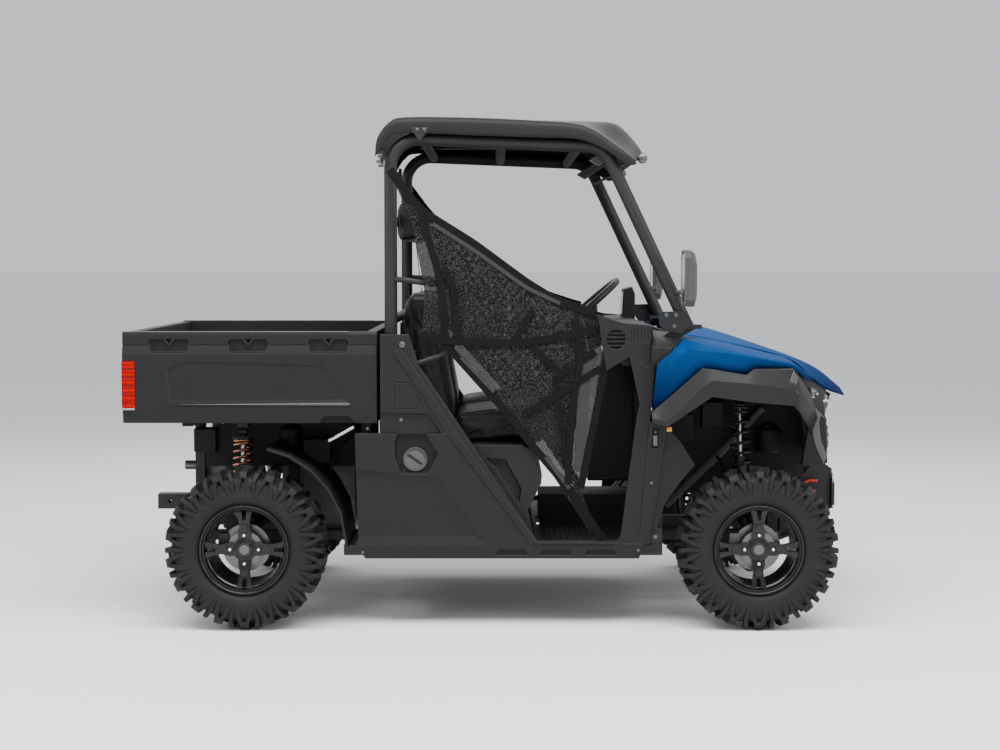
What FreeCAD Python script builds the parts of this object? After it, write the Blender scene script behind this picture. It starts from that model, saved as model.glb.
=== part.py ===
"""Side by side utility vehicle, two seats, short cargo bed, roof and side nets.

Frame: X forward, Y to the left, Z up, millimetres. The origin is on the ground
in the middle of the vehicle's length and width.
"""

import FreeCAD
import Part
import math
import os

# Overall sizes
WIDTH = 1570
WHEELBASE = 1964
FRONT_OVERHANG = 406.5
REAR_OVERHANG = 474.5
LENGTH = WHEELBASE + FRONT_OVERHANG + REAR_OVERHANG
FRONT_END_X = LENGTH / 2
REAR_END_X = -LENGTH / 2
FRONT_AXLE_X = FRONT_END_X - FRONT_OVERHANG
REAR_AXLE_X = REAR_END_X + REAR_OVERHANG

# Places in the profile drawing that the outlines are given in
DRAWN_FRONT_AXLE_X = 1016
DRAWN_REAR_AXLE_X = -948
DRAWN_POST_X = -394
DRAWN_DASH_X = 400

# Widths from the overall width
BODY_HALF_WIDTH = WIDTH / 2 - 85
SILL_RAIL_Y = BODY_HALF_WIDTH - 100
CAGE_Y = SILL_RAIL_Y
SEAT_WIDTH = BODY_HALF_WIDTH * 0.67
SEAT_Y = BODY_HALF_WIDTH * 0.445
STEER_Y = SEAT_Y - 12

# Wheels and tyres
TYRE_RADIUS = 311
FRONT_TYRE_WIDTH = 205
REAR_TYRE_WIDTH = 254
AXLE_Z = 311
STANDING_LIFT = TYRE_RADIUS - AXLE_Z
ARCH_RADIUS = 381
TYRE_SIDES = 18
RIM_SIDES = 36
LUG_STEP = 20
WIDE_LUG_HALF = 17
NARROW_LUG_HALF = 11
RIM_FLANGE_RADIUS = 172
BEAD_RADIUS = 152
RIM_LIP_SHARE = 0.84
RIM_WALL = 5
SPOKE_DISC_THICKNESS = 9
SPOKE_DISC_INSET = 42
SPOKE_PAD_RISE = 5
HUB_RADIUS = 40
HUB_FLANGE_RADIUS = 68
SPINDLE_RADIUS = 16
RUNNING_FIT = 0.05
BRAKE_DISC_RADIUS = 92
BRAKE_DISC_THICKNESS = 5

# Front steering and suspension
KINGPIN_INSET = 80
KINGPIN_Y = (WIDTH - FRONT_TYRE_WIDTH) / 2 - KINGPIN_INSET
REAR_UPRIGHT_Y = (WIDTH - REAR_TYRE_WIDTH) / 2 - 60
KINGPIN_RADIUS = 24
KINGPIN_HALF_HEIGHT = 84
BALL_PIN_RADIUS = 9
BALL_PIN_LENGTH = 24
ARM_BOSS_RADIUS = 20
STEERING_ARM = 80
TIE_ROD_RADIUS = 9
TIE_ROD_RISE = 34
RACK_RADIUS = 12
RACK_HOUSING_HALF = 140
ARM_TUBE_RADIUS = 14
ARM_PIVOT_RADIUS = 17
ARM_PIVOT_SPREAD = 130
UPPER_PIVOT_Z = 420
GEAR_CASE_RISE = 45
FRONT_CASE_HALF = 112
FRONT_CASE_RADIUS = 56
REAR_CASE_HALF = 132
REAR_CASE_RADIUS = 68
DAMPER_X = FRONT_AXLE_X - 31
DAMPER_FOOT_Y = KINGPIN_Y - 132
DAMPER_HEAD_Y = DAMPER_FOOT_Y - 65
DAMPER_BRACKET_RISE = 38
SPRING_RADIUS = 36
SPRING_WIRE = 6.2
SPRING_TURNS = 7
SPRING_STEPS = 12
REAR_DAMPER_X = REAR_AXLE_X - 50
REAR_DAMPER_FOOT_Y = REAR_UPRIGHT_Y - 168
REAR_DAMPER_HEAD_Y = REAR_DAMPER_FOOT_Y - 30
FIT = 0.3

# Chassis
FRAME_Z = 268
FRAME_TUBE = 40
RAIL_Y = 280
NARROW_RAIL_Y = 215
REAR_RAIL_X = REAR_END_X + 132.5
FRONT_RAIL_X = FRONT_AXLE_X + 164
COWL_TOP_Z = 1080
TOP_RAIL_Z = 860
FLOOR_Z = FRAME_Z + FRAME_TUBE
FLOOR_SHEET = 8

# Bodywork
PANEL_THICKNESS = 40
INNER_HALF_WIDTH = BODY_HALF_WIDTH - PANEL_THICKNESS - FIT
PANEL_TOP_Z = 750
SILL_TOP_Z = 325
DOOR_LIP = 8
DIAGONAL_TOP_X = -147
DIAGONAL_FOOT_X = 146
DRAWN_FILLER_X = -298
SILL_FRONT_X = 583
DOOR_TOP_Z = 1130
BULKHEAD_X = REAR_AXLE_X + 576
SEAT_BASE_TOP_Z = 702
SEAT_POCKET_DEPTH = 20
DASH_LOW_Z = 1010
FILLER_Z = 656
FILLER_DEPTH = 30
SIDE_RECESS_DEPTH = 11
STEP_DEPTH = 10
MOULDING_RISE = 5
GROOVE = 4
GUARD_INSET = 8
FLARE_HALF_WIDTH = BODY_HALF_WIDTH + 48
NET_Y = BODY_HALF_WIDTH - 30
NET_THICKNESS = 4
GUARD_RADIUS = 11

# Cab
B_POST_X = REAR_AXLE_X + 554
CAGE_RADIUS = 25
ROOF_TUBE_Z = 1883
A_POST_TOP_X = FRONT_AXLE_X - 589
A_POST_TOP_Z = 1850
A_POST_FOOT_X = FRONT_AXLE_X - 271
A_POST_FOOT_Z = 1172
COWL_X = FRONT_AXLE_X - 376
FIREWALL_X = COWL_X - 60
ROOF_HALF_WIDTH = CAGE_Y + 45
ROOF_WALL = 8
ROOF_BAR_RADIUS = 20
HEADREST_BAR_Z = 1570
LOW_BAR_Z = 1180

# Round vents in the dash ends
DRAWN_VENT_X = 472
VENT_Z = 1112
VENT_RADIUS = 38

# Steering wheel
STEER_X = FRONT_AXLE_X - 612
STEER_Z = 1210
STEER_RADIUS = 175
STEER_RIM = 15
STEER_SLOPE = 41
COLUMN_RADIUS = 14
COLUMN_LENGTH = 210

# Cargo bed
BED_FRONT_X = B_POST_X - 51
BED_HALF_WIDTH = BODY_HALF_WIDTH - 15
BED_TOP_Z = 1141
BED_BOTTOM_Z = 789
BED_WALL = 38
BED_FLOOR = 30
BED_RIM_INSET = 9
BED_BAND_Z = (1053, 1088)
BED_POCKETS = (-1242, -937.5, -630)
BED_POCKET_DEPTH = 22
BED_PANEL_DEPTH = 4
TAILGATE_THICKNESS = 40
BED_REST_GAP = 0.5
BED_HINGE_X = REAR_END_X + 182.5
BED_HINGE_Z = 762
BED_HINGE_RADIUS = 12
TAILGATE_GAP = 6
TAILGATE_HINGE_RADIUS = 8
TAILGATE_PIN_LENGTH = 22

BED_EAR_THICKNESS = 12
BED_EAR_Y = (NARROW_RAIL_Y + 35, NARROW_RAIL_Y + 75)
BED_PIN_END_Y = NARROW_RAIL_Y + 87

# Silencer
MUFFLER_X = REAR_AXLE_X - 192
MUFFLER_Z = 540
MUFFLER_RADIUS = 80
MUFFLER_HALF = 150
TAIL_PIPE_Y = 100
TAIL_PIPE_RADIUS = 20

# Receiver for a 2 inch hitch
RECEIVER_INNER = 51
RECEIVER_WALL = 6
RECEIVER_Z = 400
RECEIVER_LENGTH = 125
RECEIVER_PIN_RADIUS = 8
RECEIVER_PIN_INSET = 50


def vec(x, y, z):
    return FreeCAD.Vector(x, y, z)


def fore(x):
    """Place of a drawn x on the vehicle's front, which keeps to the front axle."""
    return x + FRONT_AXLE_X - DRAWN_FRONT_AXLE_X


def aft(x):
    """Place of a drawn x on the vehicle's rear, which keeps to the rear axle."""
    return x + REAR_AXLE_X - DRAWN_REAR_AXLE_X


def along(x):
    """Place of a drawn x anywhere; the cab between rear post and dash takes up the wheelbase."""
    if x >= DRAWN_DASH_X:
        return fore(x)
    if x <= DRAWN_POST_X:
        return aft(x)
    share = (x - DRAWN_POST_X) / (DRAWN_DASH_X - DRAWN_POST_X)
    return aft(DRAWN_POST_X) + share * (fore(DRAWN_DASH_X) - aft(DRAWN_POST_X))


def placed(outline, where=along):
    """Outline of (x, z) points moved from the drawing to the vehicle."""
    return [(where(x), z) for x, z in outline]


def both_sides(low, high):
    """Spans of y on the right and on the left, from two distances off the middle."""
    return [(-high, -low), (low, high)]


def block(x, y, z):
    """Box from a low and a high value on each axis."""
    size = (x[1] - x[0], y[1] - y[0], z[1] - z[0])
    return Part.makeBox(*size, vec(x[0], y[0], z[0]))


def rod(start, end, radius):
    """Round bar between two points."""
    start = vec(*start)
    run = vec(*end) - start
    return Part.makeCylinder(radius, run.Length, start, run)


def rounded_edges(points, radius, closed):
    """Straight edges through the points, with an arc of the radius at each corner."""
    points = [vec(*point) for point in points]
    count = len(points)
    corners = []
    for index, corner in enumerate(points):
        end = not closed and index in (0, count - 1)
        size = radius[index] if isinstance(radius, (list, tuple)) else radius
        if end or size <= 0:
            corners.append((corner, None, corner))
            continue
        back = (points[index - 1] - corner).normalize()
        ahead = (points[(index + 1) % count] - corner).normalize()
        half = back.getAngle(ahead) / 2
        reach = size / math.tan(half)
        inward = (back + ahead).normalize()
        middle = corner + inward * (size / math.sin(half) - size)
        corners.append((corner + back * reach, middle, corner + ahead * reach))
    edges = []
    for index, (start, middle, end) in enumerate(corners):
        if middle is not None:
            edges.append(Part.Arc(start, middle, end).toShape())
        if index < count - 1 or closed:
            following = corners[(index + 1) % count][0]
            if (following - end).Length > 1e-6:
                edges.append(Part.LineSegment(end, following).toShape())
    return edges


def bent_tube(points, radius, bend=60):
    """Round tube along straight runs joined by arcs of the bend radius."""
    path = Part.Wire(rounded_edges(points, bend, False))
    start = vec(*points[0])
    run = vec(*points[1]) - start
    ring = Part.Wire(Part.makeCircle(radius, start, run))
    return path.makePipeShell([ring], True, False)


def side_plate(outline, y_low, y_high, radius=0):
    """Plate with an outline of (x, z) points, between two values of y."""
    points = [(x, y_low, z) for x, z in outline]
    wire = Part.Wire(rounded_edges(points, radius, True))
    return Part.Face(wire).extrude(vec(0, y_high - y_low, 0))


def front_plate(outline, x_low, x_high, radius=0):
    """Plate with an outline of (y, z) points, between two values of x."""
    points = [(x_low, y, z) for y, z in outline]
    wire = Part.Wire(rounded_edges(points, radius, True))
    return Part.Face(wire).extrude(vec(x_high - x_low, 0, 0))


def loft(sections, ruled=True):
    """Solid through closed outlines of three-dimensional points."""
    wires = [Part.makePolygon([vec(*p) for p in section + section[:1]]) for section in sections]
    return Part.makeLoft(wires, True, ruled)


def turned(profile, centre):
    """Solid turned about the line through the centre along Y, from (radius, y) points."""
    x, y, z = centre
    points = [vec(x, y + across, z + radius) for radius, across in profile]
    face = Part.Face(Part.makePolygon(points + points[:1]))
    return face.revolve(vec(x, y, z), vec(0, 1, 0), 360)


def polygon(x, z, radius, sides, turn=0):
    """Outline of (x, z) points of a regular polygon; the first corner is turned from straight up."""
    angles = [math.radians(turn + 360 * index / sides) for index in range(sides)]
    return [(x + radius * math.sin(angle), z + radius * math.cos(angle)) for angle in angles]


def faceted(profile, centre, sides, turn=0):
    """Flat-faced solid about the line through the centre along Y, from (radius, y) points."""
    x, y, z = centre
    rings = [[vec(px, y + across, pz) for px, pz in polygon(x, z, radius, sides, turn)]
             for radius, across in profile]
    faces = []
    for near, far in zip(rings, rings[1:] + rings[:1]):
        for index in range(sides):
            after = (index + 1) % sides
            corners = [near[index], near[after], far[after], far[index], near[index]]
            faces.append(Part.Face(Part.makePolygon(corners)))
    solid = Part.Solid(Part.makeShell(faces))
    if solid.Volume < 0:
        solid.reverse()
    return solid


def hollow_tool(outer, inner, face, depth):
    """Cutter for a hollow with sloped sides, from an outline of (x, z) points on the face to one below it."""
    slack = 1 / abs(depth)
    start = [(x0 + (x0 - x1) * slack, face - depth * slack, z0 + (z0 - z1) * slack)
             for (x0, z0), (x1, z1) in zip(outer, inner)]
    end = [(x, face + depth, z) for x, z in inner]
    return loft([start, end])


def mirror(shape):
    """The same shape on the other side of the vehicle."""
    return shape.mirror(vec(0, 0, 0), vec(0, 1, 0))


def pair(shape):
    return [shape, mirror(shape)]


def fuse(*shapes):
    return shapes[0].multiFuse(list(shapes[1:])).removeSplitter()


def cut(shape, *tools):
    return shape.cut(list(tools))


def save(node, *shapes):
    """Write one node, lifted to stand on its tyres; its solids may be several like pieces."""
    solids = [solid for shape in shapes for solid in shape.Solids]
    shape = solids[0] if len(solids) == 1 else Part.makeCompound(solids)
    shape.translate(vec(0, 0, STANDING_LIFT))
    shape.exportStep(f"parts/{node}.step")


# Wheels

def wheel_centre(front, side, width):
    """Middle of a wheel; side is -1 on the right and 1 on the left."""
    x = FRONT_AXLE_X if front else REAR_AXLE_X
    return x, side * (WIDTH - width) / 2, AXLE_Z


CARCASS = ((0.70, 0.95), (0.85, 0.85), (0.92, 0))
LUG = ((0.67, 0.91), (0.80, 1), (0.945, 0.94), (1, 0.60), (1, 0.06), (0.88, 0.06), (0.76, 0.8))


def tyre(centre, width):
    """Carcass with two staggered rows of lugs; the shares are of the tyre's radius and half width."""
    half = width / 2
    x, y, z = centre
    bead = half * RIM_LIP_SHARE - FIT
    side = [(RIM_FLANGE_RADIUS + 2, bead)] + [(TYRE_RADIUS * r, half * w) for r, w in CARCASS]
    profile = [(BEAD_RADIUS - 2, -bead)] + [(r, -w) for r, w in side]
    profile += [(r, w) for r, w in reversed(side[:-1])] + [(BEAD_RADIUS - 2, bead)]
    carcass = faceted(profile, centre, TYRE_SIDES, LUG_STEP / 2)
    bore = side_plate(polygon(x, z, BEAD_RADIUS + FIT, RIM_SIDES), y - width, y + width)
    lugs = []
    outward = 1 if y > 0 else -1
    for row in (outward, -outward):
        for index in range(360 // LUG_STEP):
            across = WIDE_LUG_HALF if index % 2 else NARROW_LUG_HALF
            points = [vec(x - across, y + row * w * half, z + r * TYRE_RADIUS) for r, w in LUG]
            lug = Part.Face(Part.makePolygon(points + points[:1])).extrude(vec(2 * across, 0, 0))
            lug.rotate(vec(*centre), vec(0, 1, 0), LUG_STEP * (index + (0 if row == outward else 0.5)))
            lugs.append(lug)
    return cut(fuse(carcass, *lugs), bore)


FORK = ((-24, 30), (-25, 60), (-18, 88), (-22, 110), (-33, 148), (-9, 148), (-7, 116), (7, 116),
        (9, 148), (33, 148), (22, 110), (18, 88), (25, 60), (24, 30))
SPOKE_PAD = ((-10, 64), (-16, 72), (-13, 96), (-8, 104), (8, 104), (13, 96), (16, 72), (10, 64))


def rim(centre, width, side):
    """Barrel and four forked spokes with raised pads, near the outer face."""
    half = width / 2
    x, y, z = centre
    lip = half * RIM_LIP_SHARE
    inner = BEAD_RADIUS - RIM_WALL
    barrel = faceted([
        (RIM_FLANGE_RADIUS, -lip), (RIM_FLANGE_RADIUS, -lip - RIM_WALL),
        (inner, -lip - RIM_WALL), (inner, lip + RIM_WALL), (RIM_FLANGE_RADIUS, lip + RIM_WALL),
        (RIM_FLANGE_RADIUS, lip), (BEAD_RADIUS, lip), (BEAD_RADIUS, -lip)], centre, RIM_SIDES)
    face_y = y + side * (half - SPOKE_DISC_INSET)
    back_y = face_y - side * SPOKE_DISC_THICKNESS
    pad_y = face_y + side * SPOKE_PAD_RISE
    middle = side_plate(polygon(x, z, 46, 16), min(back_y, pad_y), max(back_y, pad_y))
    spokes = []
    for quarter in range(4):
        fork = side_plate([(x + u, z + v) for u, v in FORK], min(back_y, face_y), max(back_y, face_y))
        pad = side_plate([(x + u, z + v) for u, v in SPOKE_PAD], min(face_y, pad_y), max(face_y, pad_y))
        for piece in (fork, pad):
            piece.rotate(vec(x, y, z), vec(0, 1, 0), quarter * 90)
            spokes.append(piece)
    bore = rod((x, back_y - side, z), (x, pad_y + side, z), SPINDLE_RADIUS + 8)
    return cut(fuse(barrel, middle, *spokes), bore)


def hub(centre, width, side):
    """Hub barrel and flange with its brake disc, bored for the spindle."""
    x, y, z = centre
    face = y + side * (width / 2 - SPOKE_DISC_INSET)
    flange_out = face - side * SPOKE_DISC_THICKNESS
    flange_in = flange_out - side * 10
    inner = flange_in - side * 34
    cap_out = face + side * 14
    flange = rod((x, flange_in, z), (x, flange_out, z), HUB_FLANGE_RADIUS)
    barrel = rod((x, inner, z), (x, flange_in, z), HUB_RADIUS)
    cap = rod((x, flange_out, z), (x, cap_out, z), SPINDLE_RADIUS + 8 - FIT)
    disc = rod((x, inner, z), (x, inner + side * BRAKE_DISC_THICKNESS, z), BRAKE_DISC_RADIUS)
    bore = rod((x, inner - side, z), (x, face + side * 8, z), SPINDLE_RADIUS + RUNNING_FIT)
    return cut(fuse(flange, barrel, cap, disc), bore)


def save_wheel(name, front, side):
    width = FRONT_TYRE_WIDTH if front else REAR_TYRE_WIDTH
    centre = wheel_centre(front, side, width)
    save(f"tyre_{name}", tyre(centre, width))
    save(f"rim_{name}", rim(centre, width, side))
    save(f"hub_{name}", hub(centre, width, side))


def hub_inner_y(front):
    """Distance of a hub's inner face from the vehicle's middle."""
    width = FRONT_TYRE_WIDTH if front else REAR_TYRE_WIDTH
    return WIDTH / 2 - SPOKE_DISC_INSET - SPOKE_DISC_THICKNESS - 44


def spindle_tip_y():
    return WIDTH / 2 - SPOKE_DISC_INSET


# Steering and suspension, right side first

def front_knuckle():
    """Upright of the right front wheel with its ball pins, spindle and steering arm."""
    x = FRONT_AXLE_X
    y = -KINGPIN_Y
    low = AXLE_Z - KINGPIN_HALF_HEIGHT
    high = AXLE_Z + KINGPIN_HALF_HEIGHT
    post = rod((x, y, low), (x, y, high), KINGPIN_RADIUS)
    pins = rod((x, y, low - BALL_PIN_LENGTH), (x, y, high + BALL_PIN_LENGTH), BALL_PIN_RADIUS)
    carrier_end = -(hub_inner_y(True) - 6)
    carrier = rod((x, y, AXLE_Z), (x, carrier_end, AXLE_Z), HUB_RADIUS)
    spindle = rod((x, y, AXLE_Z), (x, -spindle_tip_y() - 4, AXLE_Z), SPINDLE_RADIUS)
    arm_z = AXLE_Z + TIE_ROD_RISE - 26
    arm_end = rod((x + STEERING_ARM, y, arm_z), (x + STEERING_ARM, y, arm_z + 14), 14)
    arm = block((x, x + STEERING_ARM), (y - 10, y + 10), (arm_z, arm_z + 14))
    caliper = brake_caliper(x - 70, -hub_inner_y(True))
    bracket = block((x - 92, x - 20), (carrier_end + 2, carrier_end + 14), (AXLE_Z + 10, AXLE_Z + 44))
    return fuse(post, pins, carrier, spindle, arm, arm_end, bracket, caliper)


def brake_caliper(x, disc_y):
    """Caliper round the rear edge of the disc, whose inner face is at disc_y."""
    outer = disc_y - BRAKE_DISC_THICKNESS - 14
    body = block((x - 36, x + 4), (outer, disc_y + 18), (AXLE_Z + 4, AXLE_Z + 56))
    slot_x = (x - 30, x + 40)
    slot_y = (disc_y - BRAKE_DISC_THICKNESS - 2, disc_y + 2)
    body = cut(body, block(slot_x, slot_y, (AXLE_Z - 40, AXLE_Z + 90)))
    return body


def arm_pivot_y():
    return NARROW_RAIL_Y + FRAME_TUBE / 2 + ARM_PIVOT_RADIUS + FIT


def pivot_barrel(x, z):
    """Rubber-bushed barrel of an arm, against the side of the frame."""
    y = -arm_pivot_y()
    return rod((x - 22, y, z), (x + 22, y, z), ARM_PIVOT_RADIUS)


def wishbone(x, pivot_z, boss_y, boss_low, lift):
    """Right-hand arm from two frame pivots to a bored boss at the knuckle."""
    boss_high = boss_low + BALL_PIN_LENGTH - 2
    mid = (boss_low + boss_high) / 2
    boss = rod((x, boss_y, boss_low), (x, boss_y, boss_high), ARM_BOSS_RADIUS)
    legs = []
    for reach in (-ARM_PIVOT_SPREAD, ARM_PIVOT_SPREAD):
        legs.append(rod((x + reach, -arm_pivot_y(), pivot_z),
                        (x + reach * 0.12, boss_y + 8, mid + lift), ARM_TUBE_RADIUS - 2))
        legs.append(pivot_barrel(x + reach, pivot_z))
    bore = rod((x, boss_y, boss_low - 1), (x, boss_y, boss_high + 1), BALL_PIN_RADIUS + RUNNING_FIT)
    return cut(fuse(boss, *legs), bore)


def front_arms():
    """Both right front wishbones; the upper one carries the damper's foot."""
    y = -KINGPIN_Y
    lower_low = AXLE_Z - KINGPIN_HALF_HEIGHT - BALL_PIN_LENGTH + 1
    upper_low = AXLE_Z + KINGPIN_HALF_HEIGHT + 1
    lower = wishbone(FRONT_AXLE_X, FRAME_Z + FRAME_TUBE / 2, y, lower_low, -4)
    upper = wishbone(FRONT_AXLE_X, UPPER_PIVOT_Z, y, upper_low, 3)
    foot = block((DAMPER_X - 30, FRONT_AXLE_X + 40), (-DAMPER_FOOT_Y - 14, -DAMPER_FOOT_Y + 14),
                 (upper_low - 2, front_damper_points()[0][1]))
    return [lower, fuse(upper, foot)]


def rear_suspension():
    """Right rear upright and its two wishbones, joined at the outer ends."""
    x = REAR_AXLE_X
    y = -REAR_UPRIGHT_Y
    inner = hub_inner_y(False) - 6
    post = rod((x, y, AXLE_Z - 90), (x, y, AXLE_Z + 90), KINGPIN_RADIUS)
    carrier = rod((x, y, AXLE_Z), (x, -inner, AXLE_Z), HUB_RADIUS)
    spindle = rod((x, y, AXLE_Z), (x, -spindle_tip_y() - 4, AXLE_Z), SPINDLE_RADIUS)
    caliper = brake_caliper(x - 70, -hub_inner_y(False))
    bracket = block((x - 92, x - 20), (-inner + 2, -inner + 14), (AXLE_Z + 10, AXLE_Z + 44))
    upright = fuse(post, carrier, spindle, bracket, caliper)
    arms = []
    for outer_z, pivot_z in ((AXLE_Z - 78, FRAME_Z + FRAME_TUBE / 2), (AXLE_Z + 78, UPPER_PIVOT_Z)):
        for reach in (-ARM_PIVOT_SPREAD, ARM_PIVOT_SPREAD):
            arms.append(rod((x + reach, -arm_pivot_y(), pivot_z), (x + reach * 0.1, y, outer_z),
                            ARM_TUBE_RADIUS))
            arms.append(pivot_barrel(x + reach, pivot_z))
    foot = block((REAR_DAMPER_X - 26, x + 40), (-REAR_DAMPER_FOOT_Y - 14, -REAR_DAMPER_FOOT_Y + 14),
                 (388, rear_damper_points()[0][1]))
    return fuse(upright, foot, *arms)


def damper(x, foot, head):
    """Body, rod and eyes of a damper between two (y, z) points; y is on the right."""
    start = vec(x, -foot[0], foot[1])
    run = vec(x, -head[0], head[1]) - start
    unit = vec(run.x, run.y, run.z).normalize()
    eye_low = rod((x - 16, -foot[0], foot[1] + 17), (x + 16, -foot[0], foot[1] + 17), 17)
    eye_high = rod((x - 16, -head[0], head[1] - 17), (x + 16, -head[0], head[1] - 17), 17)
    body = Part.makeCylinder(24, run.Length * 0.42, start + unit * 20, unit)
    shaft = Part.makeCylinder(9, run.Length - 40, start + unit * 20, unit)
    seat_low = Part.makeCylinder(46, 6, start + unit * (run.Length * 0.30 - 6), unit)
    seat_high = Part.makeCylinder(46, 6, start + unit * (run.Length - 46), unit)
    return fuse(body, shaft, eye_low, eye_high, seat_low, seat_high)


def coil_spring(x, foot, head):
    """Wound spring between the damper's two seats."""
    start = vec(x, -foot[0], foot[1])
    run = vec(x, -head[0], head[1]) - start
    unit = vec(run.x, run.y, run.z).normalize()
    low = run.Length * 0.30 + SPRING_WIRE
    length = run.Length - 46 - low - SPRING_WIRE
    steps = SPRING_TURNS * SPRING_STEPS
    sections = []
    for index in range(steps + 1):
        angle = math.tau * index / SPRING_STEPS
        rise = length * index / steps
        sections.append([((SPRING_RADIUS + dx) * math.cos(angle), (SPRING_RADIUS + dx) * math.sin(angle),
                          rise + dz) for dx, dz in polygon(0, 0, SPRING_WIRE, 6)])
    coil = loft(sections)
    coil.rotate(vec(0, 0, 0), vec(0, 0, 1).cross(unit), math.degrees(vec(0, 0, 1).getAngle(unit)))
    coil.translate(start + unit * low)
    return coil


def front_damper_points():
    head_z = TOP_RAIL_Z + DAMPER_BRACKET_RISE - FRAME_TUBE / 2 - FIT
    return (DAMPER_FOOT_Y, AXLE_Z + KINGPIN_HALF_HEIGHT + 33), (DAMPER_HEAD_Y, head_z)


def rear_damper_points():
    head_z = BED_BOTTOM_Z - BED_REST_GAP - FRAME_TUBE - FIT
    return (REAR_DAMPER_FOOT_Y, AXLE_Z + 111), (REAR_DAMPER_HEAD_Y, head_z)


def rack_x():
    return FRONT_AXLE_X + STEERING_ARM


def rack_z():
    return AXLE_Z + TIE_ROD_RISE


def steering_rack():
    """Sliding rack bar with its tie rods; the rod ends lie over the steering arms."""
    x = rack_x()
    z = rack_z()
    end_y = KINGPIN_Y
    bar = rod((x, -200, z), (x, 200, z), RACK_RADIUS)
    joints = [rod((x, side * 190, z), (x, side * 222, z), 17) for side in (-1, 1)]
    ties = [rod((x, side * 200, z), (x, side * end_y, z), TIE_ROD_RADIUS) for side in (-1, 1)]
    arm_top = AXLE_Z + TIE_ROD_RISE - 12
    ends = [rod((x, side * end_y, arm_top + 0.5), (x, side * end_y, z + 12), 14) for side in (-1, 1)]
    return fuse(bar, *joints, *ties, *ends)


def half_shafts():
    """Drive shafts sloping from each gear case to its wheels, with rubber boots."""
    shafts = []
    case_z = AXLE_Z + GEAR_CASE_RISE
    front_end = KINGPIN_Y - KINGPIN_RADIUS - 22
    rear_end = REAR_UPRIGHT_Y - KINGPIN_RADIUS - FIT
    for x, case, end in ((FRONT_AXLE_X, FRONT_CASE_HALF, front_end),
                         (REAR_AXLE_X, REAR_CASE_HALF, rear_end)):
        shaft = rod((x, -case - 30, case_z), (x, -end + 4, AXLE_Z), 12)
        inner = Part.makeCone(38, 16, 70, vec(x, -case, case_z), vec(0, -1, 0))
        outer = Part.makeCone(16, 30, 60, vec(x, -end + 60, AXLE_Z), vec(0, -1, 0))
        shafts += pair(fuse(shaft, inner, outer))
    return shafts


# Frame

def beam(start, end, width=FRAME_TUBE):
    """Square tube along one axis or slanted in the XZ plane, sized by its width."""
    start = vec(*start)
    run = vec(*end) - start
    half = width / 2
    if abs(run.y) > 0.1:
        points = [vec(start.x + a, start.y, start.z + b)
                  for a, b in ((-half, -half), (half, -half), (half, half), (-half, half))]
        return Part.Face(Part.makePolygon(points + points[:1])).extrude(run)
    across = vec(-run.z, 0, run.x).normalize() * half
    points = [start + across + vec(0, -half, 0), start + across + vec(0, half, 0),
              start - across + vec(0, half, 0), start - across + vec(0, -half, 0)]
    return Part.Face(Part.makePolygon(points + points[:1])).extrude(run)


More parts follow.
